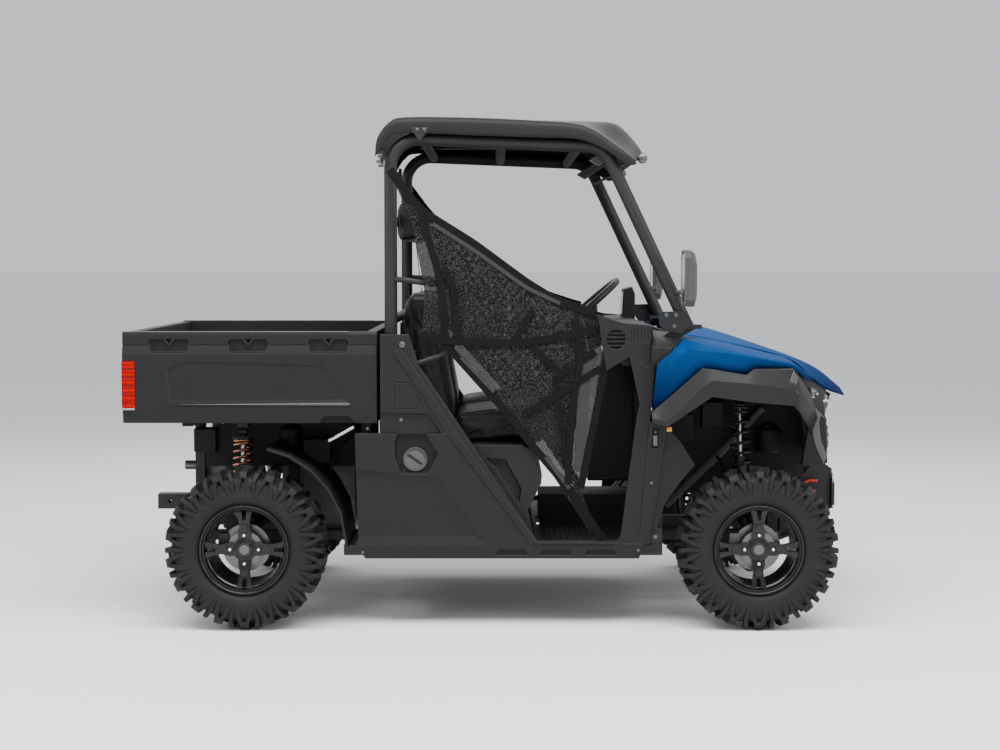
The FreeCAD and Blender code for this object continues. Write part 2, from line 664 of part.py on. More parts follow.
def main_frame():
    """Welded square tube frame: floor rails, rear subframe, front subframe and cowl posts."""
    half = FRAME_TUBE / 2
    rail_z = FRAME_Z + half
    bed_rail_z = BED_BOTTOM_Z - BED_REST_GAP - half
    bracket_z = TOP_RAIL_Z + DAMPER_BRACKET_RISE
    tubes = []
    for side in (-1, 1):
        wide = side * RAIL_Y
        narrow = side * NARROW_RAIL_Y
        sill = side * SILL_RAIL_Y
        tubes += [
            beam((REAR_RAIL_X, narrow, rail_z), (aft(-540), narrow, rail_z)),
            beam((aft(-560), narrow - side * half, rail_z), (aft(-560), sill + side * half, rail_z)),
            beam((aft(-560), wide, rail_z), (COWL_X, wide, rail_z)),
            beam((aft(-560), sill, rail_z), (COWL_X, sill, rail_z)),
            beam((COWL_X, narrow - side * half, rail_z), (COWL_X, sill + side * half, rail_z)),
            beam((COWL_X - half, narrow, rail_z), (FRONT_RAIL_X, narrow, rail_z)),
            beam((BED_HINGE_X, narrow, bed_rail_z), (aft(-500), narrow, bed_rail_z)),
            beam((COWL_X, narrow, TOP_RAIL_Z), (FRONT_RAIL_X, narrow, TOP_RAIL_Z)),
            beam((COWL_X, sill, rail_z), (COWL_X, sill, COWL_TOP_Z)),
            beam((REAR_RAIL_X + half, narrow, rail_z), (REAR_RAIL_X + half, narrow, RECEIVER_Z + half)),
            beam((DAMPER_X, narrow, bracket_z), (DAMPER_X, side * (DAMPER_HEAD_Y + 26), bracket_z)),
            beam((REAR_DAMPER_X, narrow, bed_rail_z),
                 (REAR_DAMPER_X, side * (REAR_DAMPER_HEAD_Y + 26), bed_rail_z)),
            rod((BED_HINGE_X, narrow, BED_HINGE_Z), (BED_HINGE_X, side * BED_PIN_END_Y, BED_HINGE_Z),
                BED_HINGE_RADIUS),
        ]
        for x in (REAR_AXLE_X - ARM_PIVOT_SPREAD, REAR_AXLE_X + ARM_PIVOT_SPREAD,
                  BED_HINGE_X + FRAME_TUBE, aft(-520)):
            tubes.append(beam((x, narrow, rail_z), (x, narrow, bed_rail_z)))
        for x in (FRONT_AXLE_X - ARM_PIVOT_SPREAD, FRONT_AXLE_X + ARM_PIVOT_SPREAD):
            tubes.append(beam((x, narrow, rail_z), (x, narrow, TOP_RAIL_Z)))
    for x in (-380, 100, 560):
        x = along(x)
        tubes.append(beam((x, -SILL_RAIL_Y, rail_z), (x, SILL_RAIL_Y, rail_z)))
    nose = FRONT_RAIL_X - half
    for x, z in ((REAR_RAIL_X + half, RECEIVER_Z), (MUFFLER_X, bed_rail_z), (aft(-520), bed_rail_z),
                 (aft(-820), rail_z), (aft(-600), rail_z), (nose, rail_z), (rack_x(), rail_z),
                 (nose, TOP_RAIL_Z)):
        tubes.append(beam((x, -NARROW_RAIL_Y, z), (x, NARROW_RAIL_Y, z)))
    tubes.append(beam((COWL_X, -SILL_RAIL_Y - half, COWL_TOP_Z - half),
                      (COWL_X, SILL_RAIL_Y + half, COWL_TOP_Z - half)))
    tubes.append(beam((COWL_X, -SILL_RAIL_Y, TOP_RAIL_Z), (COWL_X, SILL_RAIL_Y, TOP_RAIL_Z)))
    saddle = block((rack_x() - 20, rack_x() + 20), (-RACK_HOUSING_HALF, RACK_HOUSING_HALF),
                   (rail_z, rack_z() + 22))
    bore = rod((rack_x(), -RACK_HOUSING_HALF - 1, rack_z()), (rack_x(), RACK_HOUSING_HALF + 1, rack_z()),
               RACK_RADIUS + RUNNING_FIT)
    return cut(fuse(*tubes, saddle), bore)


# Cab floor and bodywork

def tub():
    """Cab floor, firewall and rear bulkhead in one folded sheet, notched round the posts."""
    top = FLOOR_Z + FLOOR_SHEET
    half = INNER_HALF_WIDTH
    inset = CAGE_Y - 30
    floor = block((BULKHEAD_X - FLOOR_SHEET, FIREWALL_X + FLOOR_SHEET), (-half, half), (FLOOR_Z, top))
    firewall = block((FIREWALL_X, FIREWALL_X + FLOOR_SHEET), (-inset, inset), (FLOOR_Z, DASH_LOW_Z))
    bulkhead = block((BULKHEAD_X - FLOOR_SHEET, BULKHEAD_X), (-inset, inset), (FLOOR_Z, 1090))
    rear = along(190)
    tunnel = block((rear, FIREWALL_X + 1), (-130, 130), (top - 1, 445))
    hollow = block((rear - 10, FIREWALL_X + 20), (-130 + FLOOR_SHEET, 130 - FLOOR_SHEET),
                   (FLOOR_Z - 1, 445 - FLOOR_SHEET))
    notches = [block((B_POST_X - 40, B_POST_X + CAGE_RADIUS + 3), span, (FLOOR_Z - 1, top + 1))
               for span in both_sides(CAGE_Y - CAGE_RADIUS - 3, CAGE_Y + CAGE_RADIUS + 3)]
    return cut(fuse(cut(fuse(floor, tunnel), hollow), firewall, bulkhead), *notches)


def door_surround():
    """Right-hand moulding round the doorway, with the splash guard behind the front wheel."""
    outline = [
        (-430, DOOR_TOP_Z), (-430, PANEL_TOP_Z), (DIAGONAL_TOP_X, PANEL_TOP_Z),
        (DIAGONAL_FOOT_X, SILL_TOP_Z), (SILL_FRONT_X + 18, SILL_TOP_Z), (627, 498), (666, 782),
        (602, 796), (606, 835), (625, 1033), (606, 1086),
        (604, 1000), (524, 1046), (565, 865), (553, 804), (493, 354), (478, SILL_TOP_Z + DOOR_LIP),
        (172, SILL_TOP_Z + DOOR_LIP), (-87, 719), (-285, 1013), (-322, DOOR_TOP_Z)]
    frame = side_plate(placed(outline), -BODY_HALF_WIDTH, -BODY_HALF_WIDTH + PANEL_THICKNESS)
    moulding = side_plate(placed([
        (-377, 1063), (-236, 853), (-167, 742), (150, SILL_TOP_Z), (478, SILL_TOP_Z),
        (478, SILL_TOP_Z + DOOR_LIP), (170, SILL_TOP_Z + DOOR_LIP), (-143, 756), (-212, 867), (-352, 1078)]),
        -BODY_HALF_WIDTH - MOULDING_RISE, -BODY_HALF_WIDTH)
    cover = [(-377, 948), (-323, 948), (-274, 876), (-293, 845), (-377, 845)]
    inset = [(-373, 944), (-325, 944), (-279, 876), (-296, 849), (-373, 849)]
    groove = cut(side_cutter(cover, GROOVE), side_cutter(inset, GROOVE))
    dark = body_hollow([(-440, 738), (-440, 833), (-246, 829), (-184, 738)],
                       [(-440, 738), (-440, 824), (-252, 820), (-192, 738)], STEP_DEPTH)
    latch = side_cutter([(608, 695), (612, 776), (640, 776), (636, 695)], STEP_DEPTH + 2)
    seam = side_cutter([(560, 342), (596, 783), (601, 783), (565, 342)], GROOVE)
    guard = side_plate(placed([(598, 357), (618, 498), (655, 772), (668, 774), (722, 716), (776, 628),
                               (722, 566), (662, 480), (638, 411), (630, 357)]),
                       -BODY_HALF_WIDTH + GUARD_INSET, -BODY_HALF_WIDTH + 2 * GUARD_INSET)
    return cut(fuse(frame, moulding, guard), groove, dark, latch, seam)


def side_cutter(outline, depth):
    """Straight cutter for the right-hand body side, from an outline of drawn (x, z) points."""
    return side_plate(placed(outline), -BODY_HALF_WIDTH - 1, -BODY_HALF_WIDTH + depth)


def body_hollow(outer, inner, depth):
    """Cutter for a hollow with sloped sides in the right-hand body side."""
    return hollow_tool(placed(outer), placed(inner), -BODY_HALF_WIDTH, depth)


def side_panel():
    """Right-hand lower panel with its sunken field, stepped sill and boot scrapes."""
    outline = [
        (-528, PANEL_TOP_Z), (DIAGONAL_TOP_X, PANEL_TOP_Z), (DIAGONAL_FOOT_X, SILL_TOP_Z),
        (SILL_FRONT_X, SILL_TOP_Z), (SILL_FRONT_X - 20, FRAME_Z), (-490, FRAME_Z), (-517, 309)]
    panel = side_plate(placed(outline), -BODY_HALF_WIDTH, -BODY_HALF_WIDTH + PANEL_THICKNESS)
    field = body_hollow([(-560, 618), (-205, 586), (-18, 316), (-560, 316)],
                        [(-560, 600), (-218, 566), (-72, 352), (-560, 352)], SIDE_RECESS_DEPTH)
    scrapes = []
    for x in (72, 241, 415):
        scrapes.append(body_hollow([(x - 52, 304), (x + 52, 304), (x + 63, 281), (x - 63, 281)],
                                   [(x - 50, 302), (x + 50, 302), (x + 58, 285), (x - 58, 285)], STEP_DEPTH))
    return cut(panel, field, *scrapes)


def filler_well():
    """Cutter for the eight-sided well of the fuel filler, open at the panel's top edge."""
    outer = [(-377, 722), (-362, 760), (-258, 760), (-209, 672), (-243, 603), (-258, 592), (-350, 592),
             (-377, 660)]
    inner = [(-369, 718), (-356, 760), (-262, 760), (-218, 672), (-247, 616), (-260, 608), (-347, 608),
             (-369, 662)]
    return body_hollow(outer, inner, FILLER_DEPTH)


def side_panels():
    return [cut(side_panel(), filler_well()), mirror(side_panel())]


def fuel_cap():
    x = along(DRAWN_FILLER_X)
    y = -BODY_HALF_WIDTH + FILLER_DEPTH
    z = FILLER_Z - 6
    neck = side_plate(polygon(x, z, 40, 24), y - 8, y)
    cap = side_plate(polygon(x, z, 35, 24), y - 24, y - 8)
    slot = side_plate([(x - 40, z - 5), (x - 40, z + 5), (x + 40, z + 5), (x + 40, z - 5)], y - 25, y - 14)
    slot.rotate(vec(x, y, z), vec(0, 1, 0), 35)
    return cut(fuse(neck, cap), slot)


def dashboard():
    """Dash across the cab with end caps at the doorways and an instrument pod."""
    body = side_plate(placed([(500, DASH_LOW_Z), (470, 1090), (499, 1165), (590, 1168), (612, 1158),
                              (618, 1120), (618, DASH_LOW_Z)]), -INNER_HALF_WIDTH, INNER_HALF_WIDTH)
    shelf = side_plate(placed([(600, 1163), (699, 1130), (699, 1122), (600, 1150)]),
                       -BODY_HALF_WIDTH + 195, BODY_HALF_WIDTH - 195)
    cap = side_plate(placed([(436, 993), (402, 1205), (499, 1175), (602, 1166), (604, 1000),
                             (524, 1047)]), -BODY_HALF_WIDTH, -INNER_HALF_WIDTH)
    pod = side_plate(placed([(560, 1166), (566, 1290), (600, 1300), (612, 1270), (612, 1124)]),
                     STEER_Y - 90, STEER_Y + 90)
    tunnel = Part.makeCylinder(COLUMN_RADIUS + 7, COLUMN_LENGTH + 12,
                               vec(STEER_X, STEER_Y, STEER_Z), column_axis())
    tools = dash_end_tools()
    glove = front_plate([(-SEAT_Y - 170, 1035), (-SEAT_Y + 170, 1035), (-SEAT_Y + 170, 1110),
                         (-SEAT_Y - 170, 1110)], fore(440), fore(482))
    return cut(fuse(body, shelf, cap, mirror(cap), pod), tunnel, glove, *tools,
               *[mirror(tool) for tool in tools])


def dash_end_tools():
    """Cutters of the right-hand dash end: a louvred round vent and upright flutes."""
    x = fore(DRAWN_VENT_X)
    well = side_plate(polygon(x, VENT_Z, VENT_RADIUS, 20), -BODY_HALF_WIDTH - 1, -BODY_HALF_WIDTH + 14)
    slats = [block((x - VENT_RADIUS, x + VENT_RADIUS), (-BODY_HALF_WIDTH + 4, -BODY_HALF_WIDTH + 15), (z - 2, z + 2))
             for z in (VENT_Z - 24, VENT_Z - 8, VENT_Z + 8, VENT_Z + 24)]
    tools = [cut(well, *slats)]
    for index in range(6):
        left = 526 + index * 13
        tools.append(side_cutter([(left, 1100), (left, 1150), (left + 6, 1150), (left + 6, 1100)], GROOVE))
    return tools


def column_axis():
    slope = math.radians(90 - STEER_SLOPE)
    return vec(math.cos(slope), 0, -math.sin(slope))


def steering_wheel():
    """Rim, three spokes, hub and column shaft."""
    centre = vec(STEER_X, STEER_Y, STEER_Z)
    axis = column_axis()
    section = [(STEER_RADIUS + dx, dy) for dx, dy in polygon(0, 0, STEER_RIM, 10)]
    ring = faceted(section, (STEER_X, STEER_Y, STEER_Z), RIM_SIDES)
    ring.rotate(centre, vec(0, 1, 0).cross(axis), 90)
    hub_part = Part.makeCylinder(42, 40, centre - axis * 6, axis)
    shaft = Part.makeCylinder(COLUMN_RADIUS, COLUMN_LENGTH, centre, axis)
    spokes = []
    for degrees in (90, 210, 330):
        spoke = Part.makeCylinder(11, STEER_RADIUS, centre + axis * 6, vec(0, 1, 0))
        spoke.rotate(centre, axis, degrees)
        spokes.append(spoke)
    return fuse(hub_part, shaft, ring, *spokes)


def column_bearing():
    """Bearing block that holds the foot of the column shaft on the firewall."""
    centre = vec(STEER_X, STEER_Y, STEER_Z)
    axis = column_axis()
    start = centre + axis * (COLUMN_LENGTH - 40)
    ring = Part.makeCylinder(COLUMN_RADIUS + 6.5, 50, start, axis)
    bore = Part.makeCylinder(COLUMN_RADIUS + RUNNING_FIT, 60, start - axis * 5, axis)
    return ring.cut(bore)


def seat_base():
    """Moulded seat plinth across the cab."""
    front = placed([(165, FLOOR_Z + FLOOR_SHEET), (135, 450), (188, 555), (190, 590), (140, 685),
                    (112, SEAT_BASE_TOP_Z)])
    outline = [(BULKHEAD_X, FLOOR_Z + FLOOR_SHEET)] + front + [(BULKHEAD_X, SEAT_BASE_TOP_Z)]
    base = side_plate(outline, -INNER_HALF_WIDTH, INNER_HALF_WIDTH)
    posts = [block((B_POST_X - 40, B_POST_X + CAGE_RADIUS + 3), span, (FLOOR_Z, 800))
             for span in both_sides(CAGE_Y - CAGE_RADIUS - 3, CAGE_Y + CAGE_RADIUS + 3)]
    pocket = hollow_tool(placed([(-33, 654), (51, 646), (112, 532), (104, 471), (70, 520), (12, 616)]),
                         placed([(-20, 648), (47, 640), (104, 532), (100, 486), (74, 526), (17, 618)]),
                         -INNER_HALF_WIDTH, SEAT_POCKET_DEPTH)
    return cut(base, *posts, *pair(pocket))


def seat_cushion(y):
    outline = [(-150, SEAT_BASE_TOP_Z), (200, SEAT_BASE_TOP_Z), (242, 740), (242, 800), (190, 852),
               (60, 845), (-150, 815)]
    half = SEAT_WIDTH / 2
    return side_plate(placed(outline), y - half, y + half, [0, 0, 30, 30, 30, 0, 0])


def seat_back(y):
    outline = [(-320, SEAT_BASE_TOP_Z), (-160, SEAT_BASE_TOP_Z), (-160, 850), (-178, 951),
               (-236, 1285), (-262, 1298), (-322, 1298), (-345, 1255), (-340, 900)]
    half = SEAT_WIDTH / 2
    return side_plate(placed(outline), y - half, y + half, [0, 0, 0, 60, 20, 10, 20, 40, 60])


def headrest(y):
    back = B_POST_X + ROOF_BAR_RADIUS + FIT
    front = placed([(-296, 1500), (-282, 1560), (-290, 1640), (-306, 1653)])
    half = SEAT_WIDTH * 0.28
    return side_plate([(back, 1488)] + front + [(back, 1640)], y - half, y + half)


# Roll cage and roof

def cage_side(radius=CAGE_RADIUS):
    """Right-hand tube: rear post, roof rail and front pillar, bent from one length."""
    tube = bent_tube([
        (B_POST_X, -CAGE_Y, FLOOR_Z), (B_POST_X, -CAGE_Y, ROOF_TUBE_Z),
        (A_POST_TOP_X, -CAGE_Y, A_POST_TOP_Z), (A_POST_FOOT_X + 12, -CAGE_Y, A_POST_FOOT_Z - 20)],
        radius, 110)
    below = block((A_POST_FOOT_X - 100, A_POST_FOOT_X + 100), (-CAGE_Y - 60, -CAGE_Y + 60),
                  (A_POST_FOOT_Z - 100, A_POST_FOOT_Z - 6))
    return tube.cut(below)


def roof_bars():
    """Places (x, z) of the cross bars under the roof, on the roof rail's centre line."""
    slope = (A_POST_TOP_Z - ROOF_TUBE_Z) / (A_POST_TOP_X - B_POST_X)
    return [(x, ROOF_TUBE_Z + slope * (x - B_POST_X)) for x in (along(-270), along(30), along(330))]


def roll_cage():
    right = cage_side()
    left = mirror(right)
    places = roof_bars() + [(B_POST_X, HEADREST_BAR_Z), (B_POST_X, LOW_BAR_Z)]
    bars = [rod((x, -CAGE_Y, z), (x, CAGE_Y, z), ROOF_BAR_RADIUS) for x, z in places]
    return fuse(right, left, *bars)


def cowl_brackets():
    """Feet of the front pillars on the cowl posts."""
    plate_top = A_POST_FOOT_Z - 6
    plate_low = plate_top - 16
    feet = []
    for side in (-1, 1):
        y = side * CAGE_Y
        plate = block((A_POST_FOOT_X - 40, A_POST_FOOT_X + 62), (y - 32, y + 32), (plate_low, plate_top))
        link = side_plate([(COWL_X - 20, COWL_TOP_Z), (COWL_X + 20, COWL_TOP_Z),
                           (A_POST_FOOT_X + 40, plate_low), (A_POST_FOOT_X - 40, plate_low),
                           (COWL_X - 20, COWL_TOP_Z + 20)], y - 18, y + 18)
        feet.append(fuse(plate, link))
    return feet


ROOF_SIDE = [(-448, 1826), (-439, 1889), (-395, 1944), (-331, 1962), (-74, 1960), (169, 1949), (311, 1939),
             (383, 1917), (454, 1871), (526, 1817), (547, 1792)]
ROOF_MIDDLE = [(-452, 1826), (-441, 1889), (-400, 1947), (-331, 1969), (-74, 1969), (169, 1969), (311, 1969),
               (400, 1969), (491, 1960), (560, 1893), (602, 1830)]
ROOF_UNDER = [(508, 1780), (440, 1830), (370, 1863), (300, 1878), (-345, 1899), (-405, 1874)]
ROOF_STATIONS = ((0, 0, 26), (14, 0, 8), (60, 0, 0), (190, 0.6, 0), (320, 1, 0))


def roof_section(y, blend, drop, wall):
    """Closed (x, z) section of the roof at one y; with a wall it is the hollow beneath the skin."""
    top = []
    for (x0, z0), (x1, z1) in zip(ROOF_SIDE, ROOF_MIDDLE):
        x = x0 + (x1 - x0) * blend
        z = z0 + (z1 - z0) * blend
        inward = wall if x < -400 else (-wall if x > 430 else 0)
        top.append((x + inward, z - wall - (drop if z > 1850 else 0)))
    under = [(top[-1][0], 1600), (top[0][0], 1600)] if wall else ROOF_UNDER
    return [(along(x), y, z) for x, z in top + under]


def roof_body(half, wall):
    near = [(-half + inset, blend, drop) for inset, blend, drop in ROOF_STATIONS]
    far = [(-y, blend, drop) for y, blend, drop in reversed(near)]
    return loft([roof_section(y, blend, drop, wall) for y, blend, drop in near + far])


def roof():
    """Moulded roof with turned-down edges and a visor, with ribs over the cross bars."""
    half = ROOF_HALF_WIDTH
    body = roof_body(half, 0)
    shell = cut(body, roof_body(half - ROOF_WALL, ROOF_WALL))
    ribs = [block((x - 7, x + 7), (-half + 90, half - 90), (z + ROOF_BAR_RADIUS + FIT, 2100)).common(body)
            for x, z in roof_bars()]
    return fuse(shell, *ribs)


# Front bodywork

HOOD_STATIONS = ((700, 195, 1132, 1172), (900, 203, 1096, 1131), (1155, 220, 1034, 1048),
                 (1254, 248, 960, 1012), (1330, 300, 905, 975), (1422.5, 400, 872, 900))
HOOD_WALL = 8
HOOD_CROWN = ((1, 0), (0.74, 0.70), (0.66, 0.86), (0.35, 0.96), (0, 1))


def crowned_band(x, half, edge_z, middle_z, wall):
    """Closed section across the hood, with a crease on each side of its raised middle."""
    left = [(x, -half * share, edge_z + (middle_z - edge_z) * rise) for share, rise in HOOD_CROWN]
    top = left + [(x, -y, z) for x, y, z in reversed(left[:-1])]
    return top + [(x, y, z - wall) for x, y, z in reversed(top)]


def hood_edge(x):
    """Half width and edge height of the hood at a drawn x, straight between its stations."""
    for (x0, inset0, edge0, _), (x1, inset1, edge1, _) in zip(HOOD_STATIONS, HOOD_STATIONS[1:]):
        if x <= x1:
            share = (x - x0) / (x1 - x0)
            inset = inset0 + (inset1 - inset0) * share
            return BODY_HALF_WIDTH - inset, edge0 + (edge1 - edge0) * share
    raise ValueError("the station lies ahead of the hood")


def hood():
    return loft([crowned_band(fore(x), BODY_HALF_WIDTH - inset, edge, middle, HOOD_WALL)
                 for x, inset, edge, middle in HOOD_STATIONS])


FENDER_STATIONS = (
    (628, (50, 1112), (-28, 1068), (-38, 800)),
    (700, (54, 1110), (-28, 1066), (-39, 850)),
    (900, (67, 1088), (-24, 1050), (-36, 900)),
    (1155, (115, 1024), (24, 1004), (8, 900)),
    (1240, (176, 962), (120, 948), (108, 900)))
FENDER_WALL = 8


def front_fender():
    """Right front fender from the edge of the hood to the flare."""
    wall = FENDER_WALL
    sections = []
    for x, *points in FENDER_STATIONS:
        half, edge_z = hood_edge(x)
        points = [(-half - FIT, edge_z)] + [(inset - BODY_HALF_WIDTH, z) for inset, z in points]
        x = fore(x)
        outer = [(x, y, z) for y, z in points]
        (y0, z0), (y1, z1), (y2, z2), (y3, z3) = points
        inner = [(x, y3 + wall, z3), (x, y2 + wall, z2 - wall * 0.6), (x, y1 + wall * 0.4, z1 - wall),
                 (x, y0, z0 - wall)]
        sections.append(outer + inner)
    skin = loft(sections)
    trim = side_plate(placed([(606, 835), (628, 1033), (628, 1300), (1260, 1300), (1240, 940),
                              (1144, 1000), (996, 1000), (965, 978), (834, 1000), (798, 1003)]),
                      -WIDTH / 2, -BODY_HALF_WIDTH + 300)
    foot = block((A_POST_FOOT_X - 46, A_POST_FOOT_X + 68), (-CAGE_Y - 38, -CAGE_Y + 38), (1000, 1300))
    beam_hole = block((COWL_X - 40, A_POST_FOOT_X), (-CAGE_Y - 26, -CAGE_Y + 26), (1000, 1300))
    return skin.common(trim).cut([foot, beam_hole])


FLARE_STATIONS = ((606, 835, 812, 797), (666, 887, 806, 782), (798, 1003, 935, 871), (834, 1000, 958, 896),
                  (965, 978, 948, 878), (996, 1000, 944, 874), (1144, 1000, 925, 862))
FLARE_WALL = 8


def fender_flare():
    """Right wheel-arch flare: two faces that meet in a crease, and a lip that runs in under the fender."""
    wall = FLARE_WALL
    top_y = -BODY_HALF_WIDTH - 42
    crease_y = -BODY_HALF_WIDTH - 64
    low_y = -BODY_HALF_WIDTH - 56
    sections = []
    for x, top, crease, low in FLARE_STATIONS:
        x = fore(x)
        sections.append([(x, top_y, top), (x, crease_y, crease), (x, low_y, low),
                         (x, low_y + wall, low), (x, crease_y + wall, crease - 2), (x, top_y + wall, top - 6)])
    skin = loft(sections)
    upper = [(x, top) for x, top, _, _ in FLARE_STATIONS]
    under = [(x, top - 9) for x, top, _, _ in reversed(FLARE_STATIONS)]
    shelf = side_plate(placed(upper + under), top_y, -BODY_HALF_WIDTH + 20)
    lower = [(x, low) for x, _, _, low in FLARE_STATIONS[1:]]
    lip = [(x, low + 10) for x, _, _, low in reversed(FLARE_STATIONS[1:])]
    lining = side_plate(placed(lower + lip), low_y + 1, -BODY_HALF_WIDTH + 220)
    front = side_plate(placed([(1136, 863), (1136, 999), (1144, 999), (1144, 863)]), low_y + 4,
                       -BODY_HALF_WIDTH + 60)
    return fuse(skin, shelf, lining, front)


FASCIA_STATIONS = ((0, 62), (200, 48), (340, 14), (445, -34), (555, -90))
LAMP_STATIONS = ((345, 12, 838, 880), (445, -34, 846, 901), (552, -88, 868, 919))
LAMP_DEPTH = 30
GRILLE_HALF = 250
GRILLE_SLOTS = (672, 704, 736, 768, 800)
FASCIA_WALL = 20


def fascia_section(y, forward, top):
    """Closed (x, z) section of the fascia, moved forward of its drawn place."""
    outer = [(1338, top), (1318, 793), (1332, 711), (1332, 652), (1300, 613)]
    inner = [(x - FASCIA_WALL, z) for x, z in reversed(outer)]
    return [(fore(x + forward), y, z) for x, z in outer + inner]


def front_fascia():
    """Grille panel bowed across the nose, with cheeks under the lamps and side brows."""
    top = 868
    middle = [(y, forward) for y, forward in FASCIA_STATIONS if y <= 340]
    stations = [(-y, forward) for y, forward in reversed(middle[1:])] + middle
    panel = loft([fascia_section(y, forward, top) for y, forward in stations])
    slots = [block((fore(1200), fore(1500)), (-GRILLE_HALF, GRILLE_HALF), (z, z + 20)) for z in GRILLE_SLOTS]
    post = [block((fore(1300), fore(1372)), (y - 9, y + 9), (GRILLE_SLOTS[0] - 4, GRILLE_SLOTS[-1] + 24))
            for y in (-125, 0, 125)]
    panel = fuse(cut(panel, *slots), *post)
    sides = []
    for side in (-1, 1):
        sections = []
        for (y, forward), (_, _, low, _) in zip(((338, 14), (445, -34), (555, -90)), LAMP_STATIONS):
            sections.append(fascia_section(side * y, forward, low - 2 * FIT))
        sides.append(loft(sections))
        brow = side_plate(placed([(1159, 869), (1163, 908), (1296, 795), (1303, 627), (1268, 615), (1205, 615),
                                  (1229, 771)]), side * 575 - 22, side * 575 + 22)
        sides.append(brow)
        sides.append(block((FRONT_RAIL_X + FIT, fore(1375)),
                           (side * NARROW_RAIL_Y - 15, side * NARROW_RAIL_Y + 15),
                           (TOP_RAIL_Z - 15, TOP_RAIL_Z + 5)))
    return fuse(panel, *sides)


def headlamps():
    """Swept lamps that sit on the fascia's cheeks."""
    sections = []
    for y, forward, low, high in LAMP_STATIONS:
        front = fore(1338 + forward)
        sections.append([(front - LAMP_DEPTH, -y, low), (front, -y, low), (front - 8, -y, high),
                         (front - LAMP_DEPTH - 12, -y, high)])
    return pair(loft(sections))


def front_bumper():
    """Bumper with a winch plate, side plates and a lower skid plate."""
    plates = []
    for side in (-1, 1):
        y = side * (NARROW_RAIL_Y - 10)
        plates.append(side_plate(placed([(1180, FRAME_Z), (1330, 330), (1392, 400), (1392, 560),
                                         (1330, 606), (1180, 420)]), y - 10, y + 10))
    half = NARROW_RAIL_Y + FRAME_TUBE / 2
    across = half + 15
    front = front_plate([(-across, 420), (-across + 30, 397), (across - 30, 397), (across, 420),
                         (across, 500), (across - 40, 540), (-across + 40, 540), (-across, 500)],
                        fore(1386), fore(1398))
    fairlead = block((fore(1380), fore(1400)), (-80, 80), (456, 484))
    holes = [rod((fore(1380), y, 470), (fore(1400), y, 470), 14) for y in (-180, 180)]
    front = cut(front, fairlead, *holes)
    skid = side_plate(placed([(1180, FRAME_Z), (1330, 330), (1330, 342), (1180, 280)]), -half, half)
    return fuse(front, skid, *plates)


MIRROR_STATIONS = ((724, 0, 1239), (744, 0, 1237), (764, 12, 1238), (774, 34, 1262))
MIRROR_TOP_Z = 1452
MIRROR_GLASS_DEPTH = 4


def mirror_section(x, inset, low):
    """Eight-cornered outline of the mirror's housing at one drawn x."""
    outer = -WIDTH / 2 + 3 + inset
    inner = -CAGE_Y - 40 - inset
    top = MIRROR_TOP_Z - inset
    corner = 26
    return [(fore(x), y, z) for y, z in (
        (outer, low + corner), (outer + corner, low), (inner - corner, low), (inner, low + corner),
        (inner, top - corner), (inner - corner, top), (outer + corner, top), (outer, top - corner))]


def mirrors():
    """Door mirrors with a hollow housing on short arms from the front pillars."""
    housing = loft([mirror_section(*station) for station in MIRROR_STATIONS])
    glass = loft([mirror_section(723, 7, 1246), mirror_section(724 + MIRROR_GLASS_DEPTH, 7, 1246)])
    arm = rod((fore(702), -CAGE_Y, 1290), (fore(748), -CAGE_Y - 62, 1290), 9)
    return pair(fuse(cut(housing, glass), arm).cut(cage_side(CAGE_RADIUS + FIT)))


# Side guards and nets

def side_guard():
    """Hip guard of bent tube between the rear post and the doorway."""
    y = -CAGE_Y - 40
    loop = placed([(-330, 1337), (-199, 1318), (9, 1265), (40, 1203), (-22, 1125), (-134, 1110),
                   (-200, 1048)])
    tube = bent_tube([(B_POST_X + 5, -CAGE_Y, 1341)] + [(x, y, z) for x, z in loop]
                     + [(along(-296), GUARD_RADIUS - INNER_HALF_WIDTH, 1015)], GUARD_RADIUS, 24)
    return tube.cut(rod((B_POST_X, -CAGE_Y, 1200), (B_POST_X, -CAGE_Y, 1500), CAGE_RADIUS + FIT))


def side_net():
    """Right-hand doorway net as one thin sheet."""
    foot = SILL_TOP_Z + DOOR_LIP + FIT
    outline = [(-398, 1760), (-385, 1748), (-300, 1590), (-62, 1470), (140, 1320), (236, 1255),
               (300, 1225), (401.6, 1205), (433.7, 1005), (330, 520), (412, foot), (384, foot),
               (220, 600), (120, 760), (-185, 1100), (-270, 1125), (-262, 1300), (-310, 1560), (-398, 1745)]
    sheet = side_plate(placed(outline), -NET_Y - NET_THICKNESS / 2, -NET_Y + NET_THICKNESS / 2)
    strap = side_plate(placed([(-398, 1760), (-385, 1748), (-369, 1718), (-386, 1718), (-398, 1742)]),
                       -NET_Y, -CAGE_Y - CAGE_RADIUS - FIT)
    return fuse(sheet, strap)


# Cargo bed

def bed_section():
    """Outline (y, z) across the bed: skirt, sloping band and rim on both sides."""
    half = BED_HALF_WIDTH
    rim_y = half - BED_RIM_INSET
    low, high = BED_BAND_Z
    left = [(half - 10, BED_BOTTOM_Z), (half, BED_BOTTOM_Z + 60), (half, low), (rim_y, high),
            (rim_y, BED_TOP_Z - 10), (rim_y - 5, BED_TOP_Z)]
    return left + [(-y, z) for y, z in reversed(left)]


